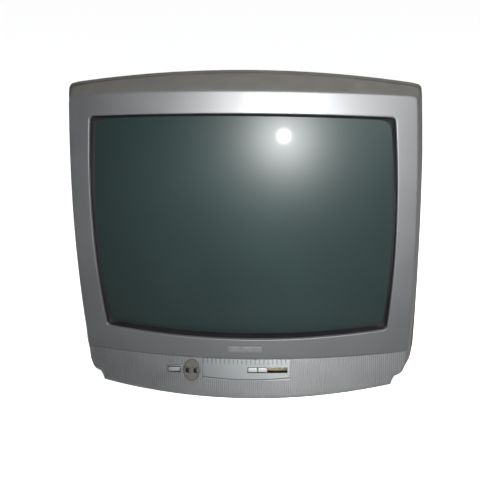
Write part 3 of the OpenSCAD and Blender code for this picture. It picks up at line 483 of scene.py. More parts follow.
# ---- Ribbed chin ----
# The lower part of the same moulding. Fine upright ribs, 3 mm apart, run over its whole width and hide the
# loudspeakers' openings. A smooth control panel is let into its middle, with a row of blocks above it.
RIB_PITCH, RIB_DEPTH = 3.0, 1.1
RIB_PROFILE = ((0, 1), (0.14, 0), (0.56, 0), (0.72, 1))   # share of the pitch, share of the depth
RIB_SINK = 0.35                          # rib tops lie a little under the border's edge
MARGIN = 1.6                             # plain edge round the ribs
PANEL_X, PANEL_Z = (-62, 65), (25.5, 54.2)
PANEL_SINK = 2.0
BLOCKS_Z = 47.2                          # foot of the row of blocks
BLOCK_PITCH, BLOCK_GAP = 6.35, 1.1
KEYS_X, KEY_PITCH, KEY_Z, KEY_H, KEY_GAP = 4, 14.3, 39, 6.6, 0.5
SLOT_X, SLOT_Z = (KEYS_X - KEY_GAP, KEYS_X + 4 * KEY_PITCH + KEY_GAP), (35.2, 42.8)
BUTTON_X, BUTTON_Z, BUTTON_W, BUTTON_H = -104.5, 37, 17, 6.4
WINDOW_A, WINDOW_B = 9.4, 4.0            # half sizes of the window round the mains button
IR_X, IR_Z = -78.5, 37


def chin_foot(x):
    """Lowest place of the ribbed field at x, on the line where the rounded edge starts."""
    chin_line = [p for p in inset_line if p[1] < RIB_Z + 0.1]
    for (x0, z0), (x1, z1) in zip(chin_line, chin_line[1:]):
        if x1 <= abs(x) <= x0:
            return lerp(z0, z1, (x0 - abs(x)) / max(x0 - x1, 0.001))
    return RIB_Z - 1


def inside(x, z, span_x, span_z):
    return span_x[0] < x < span_x[1] and span_z[0] < z < span_z[1]


def rib_columns():
    """Places of the ribs' edges across the chin, each with its share of the rib's depth."""
    last = inset_line[TOP_N // 2 + CORNER_N + SIDE_N][0]
    columns = [(-last, 0), (MARGIN - last, 0)]
    count = int(2 * (last - MARGIN) / RIB_PITCH)
    start = -count * RIB_PITCH / 2
    for k in range(count):
        columns += [(start + (k + share) * RIB_PITCH, deep) for share, deep in RIB_PROFILE]
    return columns + [(last - MARGIN, 0), (last, 0)]


window_x = (BUTTON_X - WINDOW_A, BUTTON_X + WINDOW_A)
window_z = (BUTTON_Z - WINDOW_B, BUTTON_Z + WINDOW_B)
columns = rib_columns()
heights = {RIB_Z - STEP_DROP, *PANEL_Z, *window_z, 5, 8, 11, 14, 18, 22, 30, 46, 50}
heights = sorted(heights, reverse=True)
for edge in (*PANEL_X, *window_x):
    k = next(k for k, (x, _) in enumerate(columns) if x > edge)
    (x0, d0), (x1, d1) = columns[k - 1], columns[k]
    columns.insert(k, (edge, lerp(d0, d1, (edge - x0) / (x1 - x0))))
chin_rows = []
for height in heights + [0]:
    row = []
    for x, deep in columns:
        foot = chin_foot(x)
        z = max(height, foot)
        fade = min(1, max(0, (z - foot) / MARGIN))
        sink = RIB_SINK * fade + deep * RIB_DEPTH * fade
        row.append((x, face_y(x, z) + sink, z))
    chin_rows.append(row)
for shelf in (0.15, MARGIN):
    row = [(x, face_y(x, chin_foot(x) + shelf) + (RIB_SINK + deep * RIB_DEPTH) * (shelf / MARGIN),
            chin_foot(x) + shelf) for x, deep in columns]
    chin_rows.insert(-1, row) if shelf < 1 else chin_rows.insert(-2, row)


def ribbed(x, z):
    return not inside(x, z, PANEL_X, PANEL_Z) and not inside(x, z, window_x, window_z)


# every column's rows run downwards, whatever the height of its foot
for i in range(len(columns)):
    cells = sorted((row[i] for row in chin_rows), key=lambda p: -p[2])
    for row, cell in zip(chin_rows, cells):
        row[i] = cell
chin_skin = Skin()
chin_skin.patch([list(reversed(row)) for row in chin_rows], keep=ribbed)


def panel_foot(x):
    """The panel's lower edge, a shallow arc."""
    return 26.6 + 2.6 * (x / 64) ** 2


def block_share(x):
    """1 on a block of the row above the panel, 0 in the gaps between blocks."""
    place = (x - PANEL_X[0]) % BLOCK_PITCH
    return 0 if place < BLOCK_GAP or place > BLOCK_PITCH - 0.05 else 1


SIDE = 0.35                              # width of the recess's steep sides
block_edges = []
k = 0
while PANEL_X[0] + k * BLOCK_PITCH < PANEL_X[1]:
    left = PANEL_X[0] + k * BLOCK_PITCH
    block_edges += [left + 0.02, left + BLOCK_GAP - 0.1, left + BLOCK_GAP + 0.15, left + BLOCK_PITCH - 0.2]
    k += 1
panel_columns = sorted(x for x in {*PANEL_X, PANEL_X[0] + SIDE, PANEL_X[1] - SIDE, *SLOT_X, *block_edges}
                       if PANEL_X[0] <= x <= PANEL_X[1])


def panel_row(z_of, sink_of):
    row = []
    for x in reversed(panel_columns):
        z = z_of(x)
        row.append((x, face_y(x, z) + (RIB_SINK if x in PANEL_X else sink_of(x)), z))
    return row


def block_sink(x):
    return lerp(1.9, 0.2, block_share(x))


panel_rows = [panel_row(lambda x: PANEL_Z[1], block_sink), panel_row(lambda x: BLOCKS_Z + 0.5, block_sink),
              panel_row(lambda x: BLOCKS_Z, lambda x: PANEL_SINK)]
panel_rows += [panel_row(lambda x, z=z: z, lambda x: PANEL_SINK) for z in (SLOT_Z[1], SLOT_Z[0], 31)]
panel_rows += [panel_row(panel_foot, lambda x: PANEL_SINK),
               panel_row(lambda x: panel_foot(x) - 0.3, lambda x: RIB_SINK),
               panel_row(lambda x: PANEL_Z[0], lambda x: RIB_SINK)]
panel_skin = Skin()
panel_skin.patch(panel_rows, keep=lambda x, z: not inside(x, z, SLOT_X, SLOT_Z))


def rounded(a, b, radius, n=5):
    """A rounded rectangle's outline about 0, clockwise, as x and z."""
    points = []
    for sx, sz, start in ((1, 1, 90), (1, -1, 0), (-1, -1, -90), (-1, 1, -180)):
        for k in range(n + 1):
            w = math.radians(start - 90 * k / n)
            points.append((sx * (a - radius) + radius * math.cos(w),
                           sz * (b - radius) + radius * math.sin(w)))
    return points


def on_chin(points, x0, z0, sink):
    """Places an outline on the chin's leaning face, sunk behind it."""
    return [(x0 + x, face_y(x0 + x, z0 + z) + sink, z0 + z) for x, z in points]


slot_x, slot_z = sum(SLOT_X) / 2, sum(SLOT_Z) / 2
slot_a, slot_b = (SLOT_X[1] - SLOT_X[0]) / 2, (SLOT_Z[1] - SLOT_Z[0]) / 2
# the key slot's walls take the second finish: near-black, painted shade inside the slot
panel_skin.patch([on_chin(rounded(slot_a + grow, slot_b + grow, 0.3), slot_x, slot_z, PANEL_SINK + deep)
                  for grow, deep in ((-0.1, 5), (-0.1, 0.4), (0, 0))], closed=True, slot=1)
# the raised frame round the mains button's window
for_window = [(2.0, 1.2), (2.0, -0.3), (1.6, -0.6), (0.3, -0.6), (0, -0.2), (-0.2, 12)]
# the window's innermost wall takes the second finish: near-black, painted shade inside the window
panel_skin.patch([on_chin(rounded(WINDOW_A + grow, WINDOW_B + grow, 1), BUTTON_X, BUTTON_Z, deep)
                  for grow, deep in reversed(for_window)], closed=True, slot=lambda k: 1 if k == 0 else 0)
# painted light: the panel and the ribs carry the frame's same silver paint, coloured lighter than the border
# because the chin leans up towards the lamps and the rib tops catch highlights
panel_silver_painted_light = grained("panel_silver_painted_light", (0.0205, 0.0221, 0.0228), 0.5, 0.3, 22, 0.08, 0.03)
rib_silver_painted_light = grained("rib_silver_painted_light", (0.0215, 0.0226, 0.0232), 0.54, 0.1, 30, 0.12, 0.04)
for finish in (panel_silver_painted_light, rib_silver_painted_light):
    shader(finish).inputs["Specular IOR Level"].default_value = 0.18
# painted shade: the faces at the bottom of the grooves between the ribs get a much darker colour
painted_groove_shade = grained("painted_groove_shade", (0.006, 0.0062, 0.0063), 0.6, 0.2, 45, 0.3)
chin_mesh = chin_skin.mesh("chin_grille", 30)
# the groove bottoms take the painted groove shade
for face in chin_mesh.polygons:
    spot = face.center * 1000
    if spot.y - SHIFT_BACK - face_y(spot.x, spot.z) > RIB_SINK + 0.9 * RIB_DEPTH:
        face.material_index = 1
finish_piece("chin_grille", chin_mesh, [rib_silver_painted_light, painted_groove_shade], "cabinet",
             ["front_bezel"])
finish_piece("control_panel", panel_skin.mesh("control_panel", 30), [panel_silver_painted_light, painted_slot_shade], "cabinet",
             ["front_bezel"])

# ---- Name plate, sensor escutcheon and its windows ----
# A thin blank plate is glued under the screen. The oval escutcheon is a snap-in moulding with two square
# windows of dark plastic: the left one hides the infrared receiver and the right one the stand-by lamp.
PLATE_A, PLATE_B, PLATE_Z = 25, 4.5, 71.5


def on_face_stack(stack, x0, z0):
    """A raised piece on the front: outlines, each with how far it lies behind the face, from foot to top."""
    skin = Skin()
    loops = [on_chin(points, x0, z0, sink) for points, sink in stack]
    skin.patch(list(reversed(loops)), closed=True)
    skin.cap(loops[-1])
    return skin


plate_metal = grained("plate_metal", (0.032, 0.0332, 0.0347), 0.4, 0.6, 90, 0.3, 0.05)
plate_skin = on_face_stack([(rounded(PLATE_A, PLATE_B, 1.2), 0.1), (rounded(PLATE_A, PLATE_B, 1.2), -0.6),
                            (rounded(PLATE_A - 0.4, PLATE_B - 0.4, 1), -0.95),
                            (rounded(PLATE_A - 1.5, PLATE_B - 1.5, 0.8), -1.05)], 0, PLATE_Z)
finish_piece("name_plate_blank", plate_skin.mesh("name_plate_blank", 30, outward=True), [plate_metal],
             "cabinet", ["name_plate"])


def oval(a, b, n=40):
    """An upright oval of half width a and half height b, clockwise."""
    return [(a * math.sin(w), b * math.cos(w)) for w in steps(0, 2 * math.pi, n)[:-1]]


IR_A, IR_B = 12.5, 15
# the escutcheon has the chin's same silver paint: its colour is tinted brown for residue and made darker as
# painted shade
residue_and_shade_silver = grained("residue_and_shade_silver", (0.0105, 0.0098, 0.0088), 0.6, 0.1, 110, 0.3, 0.1)
shader(residue_and_shade_silver).inputs["Specular IOR Level"].default_value = 0.15
LENS_X = (-5.6, 6.2)
escutcheon_stack = [(0, 1.2), (0, -0.3), (0.5, -0.9), (1.4, -1.0), (2.1, -0.35)]
escutcheon_stack = [(oval(IR_A - inset, IR_B - inset), sink) for inset, sink in escutcheon_stack]
escutcheon = on_face_stack(escutcheon_stack + [(oval(2, 3), -0.35)], IR_X, IR_Z)
for dx in LENS_X:
    bead = [(4.3, 0), (4.3, -0.9), (4.0, -1.25), (3.3, -1.25), (3.1, -1.0), (3.1, 0.5)]
    escutcheon.patch([on_chin(rounded(a, a, 0.5), IR_X + dx, IR_Z, sink) for a, sink in reversed(bead)],
                     closed=True)
finish_piece("sensor_escutcheon", escutcheon.mesh("sensor_escutcheon", 30), [residue_and_shade_silver], "cabinet",
             ["ir_escutcheon"])
dark_window = grained("dark_window", (0.001, 0.0008, 0.0009), 0.35, 0, 90, 0.3)
shader(dark_window).inputs["Specular IOR Level"].default_value = 0.06
lens_skin = Skin()
for dx in LENS_X:
    stack = [(3.05, 0.4), (3.05, -0.55), (2.7, -0.75)]
    loops = [on_chin(rounded(a, a, 0.4), IR_X + dx, IR_Z, sink) for a, sink in stack]
    lens_skin.patch(list(reversed(loops)), closed=True)
    lens_skin.cap(loops[-1])
finish_piece("sensor_windows", lens_skin.mesh("sensor_windows", 30, outward=True), [dark_window], "cabinet",
             ["ir_lenses"])

# ---- Mains button, keys and what shows through the empty key slots ----
# The mains button and the keys are smooth silver mouldings that ride on their switches. Two keys of the four
# are gone, so the amber board and the small switches' blue-green plungers show in their places.
bright_plastic = grained("bright_plastic", (0.055, 0.0562, 0.0558), 0.45, 0.2, 40, 0.1, 0.03)
button_silver = grained("button_silver", (0.03, 0.0311, 0.0318), 0.45, 0.3, 40, 0.1, 0.03)


def push_piece(node, a, b, radius, x0, z0, reach):
    """A button or key with a softly rounded front, as deep as its CAD solid: its skin, front and back."""
    low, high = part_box(node)
    front, back = low.y * 1000 - SHIFT_BACK, high.y * 1000 - SHIFT_BACK
    stack = [(0, min(front + reach, back)), (0, front + 1.2), (0.25, front + 0.4), (0.8, front + 0.05),
             (1.6, front)]
    skin = Skin()
    loops = [[(x0 + x, y, z0 + z) for x, z in rounded(a - inset, b - inset, max(radius - inset, 0.2))]
             for inset, y in stack]
    skin.patch(list(reversed(loops)), closed=True)
    skin.cap(loops[-1])
    skin.cap(list(reversed(loops[0])))
    return skin, front, back


BUTTON_REACH, STEM = 10, 2.6             # depth of the button's cap, half width of its square stem
button_skin, button_front, button_back = push_piece("power_button", BUTTON_W / 2, BUTTON_H / 2, 1.2,
                                                    BUTTON_X, BUTTON_Z, BUTTON_REACH)
button_skin.patch([[(BUTTON_X + x, y, BUTTON_Z + z) for x, z in rounded(STEM, STEM, 0.4)]
                   for y in (button_front + BUTTON_REACH - 0.2, button_back)], closed=True)
finish_piece("mains_button", button_skin.mesh("mains_button", 30, outward=True), [button_silver],
             "power_button", ["power_button"])
KEY_REACH, PEG_R, PEG_LENGTH = 7.5, 1.7, 4   # depth of a key's cap, and the round peg behind it
for order, key in enumerate(("key_left", "key_right")):
    key_x = KEYS_X + (order + 0.5) * KEY_PITCH
    skin, _, back = push_piece(key, KEY_PITCH / 2 - KEY_GAP, KEY_H / 2, 0.8, key_x, KEY_Z, KEY_REACH)
    skin.patch([[(key_x + x, y, KEY_Z + z) for x, z in oval(PEG_R, PEG_R, 20)]
                for y in (back - PEG_LENGTH, back)], closed=True)
    finish_piece(key + "_cap", skin.mesh(key + "_cap", 30, outward=True), [bright_plastic], key,
                 [key])

# ---- Glass of the picture tube ----
# The face is thick tinted glass, bowed like a ball of 950 mm radius, over a grey layer of phosphor. Years of
# dust and wiping leave it a little dull, so a lamp's reflection has a soft halo round its bright middle.
screen_glass = grained("screen_glass", (0.0022, 0.0039, 0.0037), 0.05, 0, 6, 0.12, 0, 0.02)
shader(screen_glass).inputs["Specular IOR Level"].default_value = 0.015
shader(screen_glass).inputs["Coat Weight"].default_value = 0.06
shader(screen_glass).inputs["Coat Roughness"].default_value = 0.36
GLASS_STEPS = 30
glass_edge = mirrored(opening_half(3, 24))
glass_loops = []
for t in steps(0.02, 1, GLASS_STEPS):
    scaled = [(x * t, SCREEN_Z + (z - SCREEN_Z) * t) for x, z in glass_edge]
    glass_loops.append([(x, glass_y(x, z), z) for x, z in scaled])
for grow, back in ((5, 1.5), (7, 5), (9.5, 14), (10.5, 30)):
    glass_loops.append([(x, glass_y(0, SCREEN_Z + OPENING_B) + back + glass_y(x, z) - glass_y(0, z), z)
                        for x, z in mirrored(opening_half(grow, 24 + grow / 2))])
glass_skin = Skin()
glass_skin.patch(glass_loops, closed=True)
glass_skin.cap(glass_loops[0])
finish_piece("screen_face", glass_skin.mesh("screen_face", 50), [screen_glass], "cabinet",
             ["tube_panel"])

# ---- Rear cover ----
# One moulding of warm grey plastic with a fine sparked texture. It tapers back round the tube, and has slots
# for warm air, six deep wells for its screws and openings for the sockets and the mains cord.
COVER_Y, COVER_END, COVER_WALL, COVER_INSET = 78.4, 472, 2.8, 1
REAR_FOOT_W, REAR_TOP_Z = 182, 336
REAR_TOP_W = REAR_FOOT_W - 52
REAR_EDGE = 9                            # rounding of the rear wall's edge
SLOPE_X, SLOPE_Z = 1.25, 1.35            # how the taper gathers towards the back


def tucked(points, inset):
    """Moves a half outline inwards: along its normals above the rib line, straight in and up below it."""
    side_end = TOP_N // 2 + CORNER_N + SIDE_N
    reach = points[side_end][0]
    low = [(x * (1 - inset / reach), z + inset * min(1, (RIB_Z - z) / (RIB_Z - BASE_Z)))
           for x, z in points[side_end:]]
    return shrink(points, inset)[:side_end] + low


def rear_half(inset):
    """Right half of the rear wall's outline, point by point against the rim."""
    points = []
    crown, radius = 6, 10
    side_top = REAR_TOP_Z - crown - radius
    rib_x = rim[TOP_N // 2 + CORNER_N + SIDE_N][0]
    for i, (x, z) in enumerate(rim):
        if i <= TOP_N // 2:
            t = i / (TOP_N // 2)
            points.append((t * (REAR_TOP_W - radius), REAR_TOP_Z - crown * t * t))
        elif i <= TOP_N // 2 + CORNER_N:
            w = (i - TOP_N // 2) / CORNER_N * math.pi / 2
            points.append((REAR_TOP_W - radius + radius * math.sin(w), side_top + radius * math.cos(w)))
        elif i <= TOP_N // 2 + CORNER_N + SIDE_N:
            t = (i - TOP_N // 2 - CORNER_N) / SIDE_N
            points.append((lerp(REAR_TOP_W, REAR_FOOT_W, t), lerp(side_top, RIB_Z, t)))
        else:
            points.append((x * REAR_FOOT_W / rib_x, z))
    return tucked(points, inset)


def cover_loop(u, grow_in, edge_in=0):
    """Loop of the cover at share u of its depth, grown inwards by the wall."""
    near, far = tucked(rim, COVER_INSET + grow_in), rear_half(grow_in + edge_in)
    half = [(lerp(p[0], q[0], u ** SLOPE_X), lerp(p[1], q[1], u ** SLOPE_Z)) for p, q in zip(near, far)]
    depth = lerp(COVER_Y, COVER_END - grow_in, u)
    return [(x, depth, z) for x, z in mirrored(half)]


COVER_SHARES = (0, 0.02, 0.06, 0.12, 0.2, 0.3, 0.4, 0.5, 0.6, 0.7, 0.8, 0.88, 0.94, 0.965)


def cover_stack(grow_in):
    """The cover's loops from its front to the rounded edge of its rear wall."""
    loops = [cover_loop(u, grow_in) for u in COVER_SHARES]
    last = COVER_SHARES[-1]
    for w in steps(0, math.pi / 2, 5)[1:]:
        edge_in = (REAR_EDGE - grow_in) * (1 - math.cos(w))
        loops.append(cover_loop(last + (1 - last) * math.sin(w), grow_in, edge_in))
    return loops


def combine(mesh, tool, operation):
    """Cuts, joins or trims one closed mesh with another."""
    base, other = bpy.data.objects.new("base", mesh), bpy.data.objects.new("tool", tool)
    for helper in (base, other):
        bpy.context.collection.objects.link(helper)
    step = base.modifiers.new("shape", "BOOLEAN")
    step.operation, step.object, step.solver = operation, other, "MANIFOLD"
    shaped = bpy.data.meshes.new_from_object(base.evaluated_get(bpy.context.evaluated_depsgraph_get()))
    shaped.materials.clear()
    for helper in (base, other):
        bpy.data.objects.remove(helper)
    return shaped


def solids(stacks):
    """One mesh of closed solids, each a stack of loops."""
    skin = Skin()
    for loops in stacks:
        skin.patch(loops, closed=True)
        skin.lid(loops[-1])
        skin.lid(list(reversed(loops[0])))
    return skin.mesh("solids", outward=True, weld=0.001)


def box_prism(points, low, high, axis="y"):
    """Loops of a prism: an outline of two numbers, run from low to high along y or z."""
    if axis == "y":
        return [[(a, run, b) for a, b in points] for run in (low, high)]
    return [[(a, b, run) for a, b in points] for run in (low, high)]


def stadium(width, length, n=4):
    """An oval slot's outline about 0, rounded at the ends of its length."""
    r = width / 2
    far = [(r * math.cos(w), length / 2 - r + r * math.sin(w)) for w in steps(0, math.pi, n)]
    return far + [(-x, -y) for x, y in far]


def circle(r, n=24):
    return [(r * math.cos(w), r * math.sin(w)) for w in steps(0, 2 * math.pi, n)[:-1]]


def moved(points, x, z):
    return [(px + x, pz + z) for px, pz in points]


SCREWS = [(side * x, z) for side in (-1, 1) for x, z in ((150, 429), (232, 200), (222, 40))]
WELL_Y, WELL_R, WELL_BORE, SCREW_HOLE_R = 90, 7, 5, 2.2
SLOT_W, SLOT_PITCH, TOP_SLOT, REAR_SLOT = 4.4, 9, 55, 50   # the air slots' width, pitch and lengths
SOCKET_Z, SCART_X, JACKS_X, AERIAL_X = 34, 45, (92, 106, 120), -30
GLAND_X, GLAND_Z, GLAND_R = -130, 32, 6.5
PAST = 5                                 # how far a cutter runs on past the wall
outer_stack, inner_stack = cover_stack(0), cover_stack(COVER_WALL)
shell_skin = Skin()
shell_skin.patch(outer_stack, closed=True)
shell_skin.lid(outer_stack[-1])
shell_skin.patch([list(reversed(loop)) for loop in inner_stack], closed=True)
shell_skin.lid(list(reversed(inner_stack[-1])))
shell_skin.patch([inner_stack[0], outer_stack[0]], closed=True)
posts = [box_prism(moved(circle(WELL_R), x, z), WELL_Y, COVER_END + PAST) for x, z in SCREWS]
wells = combine(solids([cover_stack(COVER_WALL / 3)]), solids(posts), "INTERSECT")
shell = combine(shell_skin.mesh("shell", outward=True), wells, "UNION")
cutters = [box_prism(moved(circle(WELL_BORE), x, z), WELL_Y + 4, COVER_END + 9) for x, z in SCREWS]
cutters += [box_prism(moved(circle(SCREW_HOLE_R), x, z), WELL_Y - 2, WELL_Y + PAST) for x, z in SCREWS]
for row in (0, 1):
    for i in range(-14, 15):
        slot_outline = moved(stadium(SLOT_W, TOP_SLOT), i * SLOT_PITCH, COVER_Y + 122.5 + row * 85)
        cutters.append(box_prism(slot_outline, REAR_TOP_Z - 20 - 40 * row, FACE_TOP + 60, "z"))
for i in range(-10, 11):
    slot_outline = moved(stadium(SLOT_W, REAR_SLOT), i * SLOT_PITCH, REAR_TOP_Z - 70)
    cutters.append(box_prism(slot_outline, COVER_END - 30, COVER_END + PAST))
openings = [(rounded(27, 9, 1.5), SCART_X, SOCKET_Z), (circle(7), AERIAL_X, SOCKET_Z),
            (circle(GLAND_R), GLAND_X, GLAND_Z)]
openings += [(circle(6), x, SOCKET_Z) for x in JACKS_X]
cutters += [box_prism(moved(points, x, z), COVER_END - 20, COVER_END + PAST) for points, x, z in openings]
shell = combine(shell, solids(cutters), "DIFFERENCE")
shade(shell, 32)
cover_plastic = grained("cover_plastic", (0.03, 0.0292, 0.0263), 0.6, 0, 300, 0.1, 0.25)
finish_piece("rear_cover_moulding", shell, [cover_plastic], "cabinet", ["rear_cover"])

# ---- Cord gland and rating label on the rear wall ----
# The gland is a rubber grommet in the cord's hole; the set's cord is not part of the model. The label is a
# thin pale film without print, with a darker border.
black_rubber = grained("black_rubber", (0.018, 0.018, 0.018), 0.6, 0, 120, 0.3, 0.1)


def turned(skin, profile, x, z, slot=0, n=32):
    """Turns a closed outline of (radius, y) places round an axis along y."""
    loops = [[(x + px, y, z + pz) for px, pz in circle(r, n)] for r, y in profile]
    skin.patch(loops + loops[:1], closed=True, slot=slot)


ROUND_CREASE = 35                        # degrees, the crease angle of small round pieces
gland_profile = [(3.7, -6), (6.4, -6), (6.4, 0.1), (9, 0.1), (9, 1.4), (8.3, 2.2), (5.2, 2.5), (3.9, 2.2),
                 (3.7, 1.6)]
gland_skin = Skin()
turned(gland_skin, [(r, COVER_END + back) for r, back in gland_profile], GLAND_X, GLAND_Z)
finish_piece("cord_grommet", gland_skin.mesh("cord_grommet", ROUND_CREASE, outward=True), [black_rubber],
             "cabinet", ["cord_gland"])
LABEL_X, LABEL_Z, LABEL_A, LABEL_B, LABEL_R = -25, 84, 35, 20, 2.5
label_film = grained("label_film", (0.55, 0.55, 0.53), 0.35, 0, 30, 0.06, 0.03)
label_border = grained("label_border", (0.16, 0.17, 0.18), 0.4, 0, 30, 0.1)
label_skin = Skin()
label_stack = [(0, 0.02, 0), (0, 0.35, 0), (0.1, 0.4, 0), (1.6, 0.4, 0), (2.2, 0.4, 1)]
label_loops = [[(LABEL_X + x, COVER_END + back, LABEL_Z + z)
                for x, z in rounded(LABEL_A - inset, LABEL_B - inset, LABEL_R - inset)]
               for inset, back, _ in label_stack]
label_skin.patch(label_loops, closed=True, slot=lambda k: label_stack[k + 1][2])
label_skin.lid(label_loops[-1])
finish_piece("blank_label", label_skin.mesh("blank_label", ROUND_CREASE, outward=True),
             [label_film, label_border], "cabinet", ["rating_label"])

# ---- Rubber feet ----
# Four moulded rubber pads. The front pair is glued under the frame, and the rear pair has pegs that snap into
# the cover. Each has a shallow dish in its sole.
FEET_X, FEET_Y, FOOT_R = 150, (34, 412), 11
feet_skin = Skin()
for x in (-FEET_X, FEET_X):
    for y, top, peg in ((FEET_Y[0], 8.3, 0), (FEET_Y[1], 8, 5)):
        profile = [(0.2, 0.9), (5.5, 0.9), (6.5, 0), (9.9, 0), (FOOT_R, 1), (FOOT_R - 0.6, top)]
        profile += [(3.4, top), (3.2, top + peg), (0.2, top + peg)] if peg else [(0.2, top)]
        rings = [[(x + px, y + py, z) for px, py in circle(r, 32)] for r, z in profile]
        feet_skin.patch(rings + rings[:1], closed=True)
finish_piece("rubber_feet", feet_skin.mesh("rubber_feet", ROUND_CREASE, outward=True), [black_rubber],
             "cabinet", ["feet"])

# ---- Sockets in the rear wall ----
# The 21-pin socket is a black housing with two rows of tinned blades. The three phono sockets have coloured
# plastic collars round nickelled barrels: yellow for the picture, white and red for the sound.
black_plastic = grained("black_plastic", (0.02, 0.02, 0.021), 0.42, 0, 70, 0.25, 0.05)
tinned_metal = grained("tinned_metal", (0.55, 0.55, 0.53), 0.3, 1.0, 120, 0.2, 0.04)
scart_top = SOCKET_Z + 8
scart_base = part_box("scart_socket")[0].z * 1000
scart_mid, scart_half = (scart_top + scart_base) / 2, (scart_top - scart_base) / 2
housing = solids([box_prism(moved(rounded(26, scart_half, 1), SCART_X, scart_mid), COVER_END - 22,
                            COVER_END + 1.5)])
D_SHAPE = [(-23.5, 5.2), (23.5, 5.2), (23.5, -5.2), (-19, -5.2), (-23.5, -1.2)]
mouth = box_prism(moved(D_SHAPE, SCART_X, SOCKET_Z), COVER_END - 13, COVER_END + 4)
housing = combine(housing, solids([mouth]), "DIFFERENCE")
tongue = solids([box_prism(moved(rounded(19.5, 1.1, 0.4), SCART_X, SOCKET_Z), COVER_END - 14, COVER_END - 2)])
shade(tongue)
shade(housing)
finish_piece("socket_21_pin", housing, [black_plastic], "cabinet", ["scart_socket"])
finish_piece("socket_21_pin_tongue", tongue, [black_plastic], "cabinet", ["scart_socket"])
blades = []
BLADE_PITCH, ROW_SHIFT, ROW_RISE, ROW_COUNT = 3.8, 0.95, 2.2, 10
for row in (-1, 1):
    for i in range(ROW_COUNT):
        x = SCART_X + (i - (ROW_COUNT - 1) / 2) * BLADE_PITCH + row * ROW_SHIFT
        blade = moved(rounded(0.75, 0.25, 0.1, 2), x, SOCKET_Z + row * ROW_RISE)
        blades.append(box_prism(blade, COVER_END - 13.4, COVER_END - 3))
pins = solids(blades)
shade(pins)
finish_piece("socket_21_pin_blades", pins, [tinned_metal], "cabinet", ["scart_socket"])
COLLARS = {"yellow": (0.62, 0.42, 0.02), "white": (0.6, 0.6, 0.57), "red": (0.45, 0.02, 0.015)}
JACK_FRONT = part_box("av_sockets")[1].y * 1000 - SHIFT_BACK
jack_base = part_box("av_sockets")[0].z * 1000
for x, (name, colour) in zip(JACKS_X, COLLARS.items()):
    collar_plastic = grained("collar_" + name, colour, 0.4, 0, 80, 0.12)
    jack_skin = Skin()
    middle_z, half_z = (SOCKET_Z + 7 + jack_base) / 2, (SOCKET_Z + 7 - jack_base) / 2
    body_loops = [[(x + px, COVER_END - ahead, middle_z + pz)
                   for px, pz in rounded(6 - inset, half_z - inset, 0.8)]
                  for ahead, inset in ((24, 0.4), (23.6, 0), (8.4, 0), (8, 0.4))]
    jack_skin.patch(body_loops, closed=True)
    jack_skin.lid(body_loops[-1])
    jack_skin.lid(list(reversed(body_loops[0])))
    turned(jack_skin, [(4.1, COVER_END - 8.5), (5.4, COVER_END - 8.5), (5.4, COVER_END - 0.4), (5.0, COVER_END),
                       (4.1, COVER_END)], x, SOCKET_Z, 1)
    turned(jack_skin, [(1.7, COVER_END - 6), (4.15, COVER_END - 6), (4.15, JACK_FRONT - 0.5), (3.7, JACK_FRONT),
                       (3.1, JACK_FRONT), (3.1, COVER_END + 1), (1.7, COVER_END + 1)], x, SOCKET_Z, 2)
    jack = "phono_socket_" + name
    finish_piece(jack, jack_skin.mesh(jack, ROUND_CREASE, outward=True),
                 [black_plastic, collar_plastic, tinned_metal], "cabinet", ["av_sockets"])

# ---- Finishes of the pieces that keep their own shape ----
# Inside are the picture tube, its yoke and rings, the boards and the loudspeakers. Each gets a finish with the
# grain, tarnish or dust of the real material.
funnel_black = grained("graphite_paint", (0.022, 0.022, 0.024), 0.62, 0, 25, 0.5, 0.15)
clear_glass = grained("neck_glass", (0.55, 0.6, 0.6), 0.06, 0, 20, 0.05)
shader(clear_glass).inputs["Transmission Weight"].default_value = 0.85
steel = grained("bare_steel", (0.32, 0.32, 0.32), 0.42, 0.9, 45, 0.3, 0.05)
zinc = grained("yellow_zinc", (0.55, 0.5, 0.33), 0.34, 0.95, 90, 0.3)
mask_steel = grained("blackened_steel", (0.1, 0.1, 0.105), 0.55, 0.6, 300, 0.4)
copper = grained("enamelled_copper", (0.4, 0.12, 0.035), 0.32, 0.75, 700, 0.45, 0.35, stretch=(1, 3, 1))
ferrite = grained("grey_ferrite", (0.05, 0.05, 0.055), 0.6, 0, 120, 0.35, 0.1)
pale_plastic = grained("pale_plastic", (0.6, 0.6, 0.55), 0.42, 0, 15, 0.12)
red_silicone = grained("red_silicone", (0.3, 0.03, 0.022), 0.5, 0, 40, 0.2)
braid = grained("tinned_braid", (0.4, 0.4, 0.38), 0.45, 0.9, 900, 0.6, 0.6)
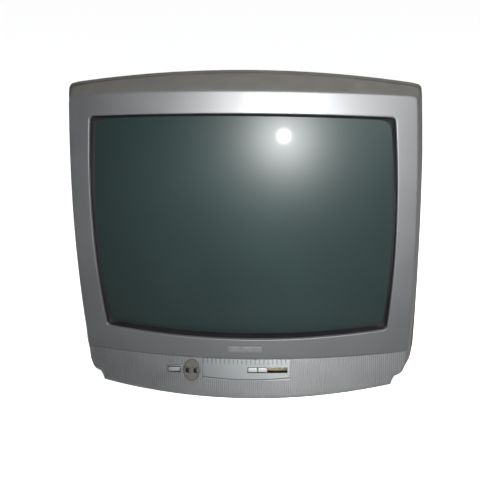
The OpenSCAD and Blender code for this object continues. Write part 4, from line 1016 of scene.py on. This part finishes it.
board_brown = grained("paper_board", (0.032, 0.0195, 0.0038), 0.7, 0, 240, 0.8, 0.05)
board_green = grained("green_board", (0.035, 0.16, 0.055), 0.4, 0, 50, 0.25, 0.03)
aluminium = grained("raw_aluminium", (0.6, 0.6, 0.61), 0.38, 1, 200, 0.15, 0.03, stretch=(1, 1, 8))
cone_paper = grained("pressed_paper", (0.02, 0.02, 0.02), 0.85, 0, 500, 0.5, 0.4)
cap_film = grained("printed_sleeve", (0.03, 0.045, 0.16), 0.35, 0, 30, 0.2)
coil_tape = grained("wrapped_tape", (0.02, 0.02, 0.02), 0.5, 0, 80, 0.4, 0.3)
plunger_teal = grained("plunger_plastic", (0.02, 0.075, 0.075), 0.5, 0, 60, 0.15)
lacquer = grained("winding_lacquer", (0.28, 0.13, 0.04), 0.4, 0.2, 300, 0.4, 0.2)
FINISHES = {
    funnel_black: ["tube_funnel"],
    clear_glass: ["tube_neck"],
    steel: ["electron_gun", "implosion_band", "yoke_clamp"],
    zinc: ["tube_screws", "cover_screws"],
    mask_steel: ["shadow_mask", "mask_frame"],
    copper: ["yoke_coils"],
    ferrite: ["yoke_core", "purity_ring_1", "purity_ring_2", "four_pole_ring_1", "four_pole_ring_2",
              "six_pole_ring_1", "six_pole_ring_2"],
    pale_plastic: ["yoke_liner", "ring_holder", "tube_socket", "focus_knob", "screen_knob"],
    red_silicone: ["anode_cap", "anode_lead", "lock_ring"],
    braid: ["ground_braid"],
    board_brown: ["main_board", "front_board", "key_board"],
    board_green: ["neck_board"],
    aluminium: ["heatsinks"],
    black_plastic: ["tube_base", "mains_switch", "front_sensors", "flyback", "key_switches"],
    tinned_metal: ["tuner", "speaker_left", "speaker_right"],
    cone_paper: ["speaker_cone_left", "speaker_cone_right"],
    cap_film: ["capacitors"],
    coil_tape: ["degauss_coil"],
    lacquer: ["power_transformer"],
    plunger_teal: ["bare_plunger_3", "bare_plunger_4"],
}
for finish, names in FINISHES.items():
    for name in names:
        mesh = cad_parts[name].data
        mesh.materials.clear()
        mesh.materials.append(finish)
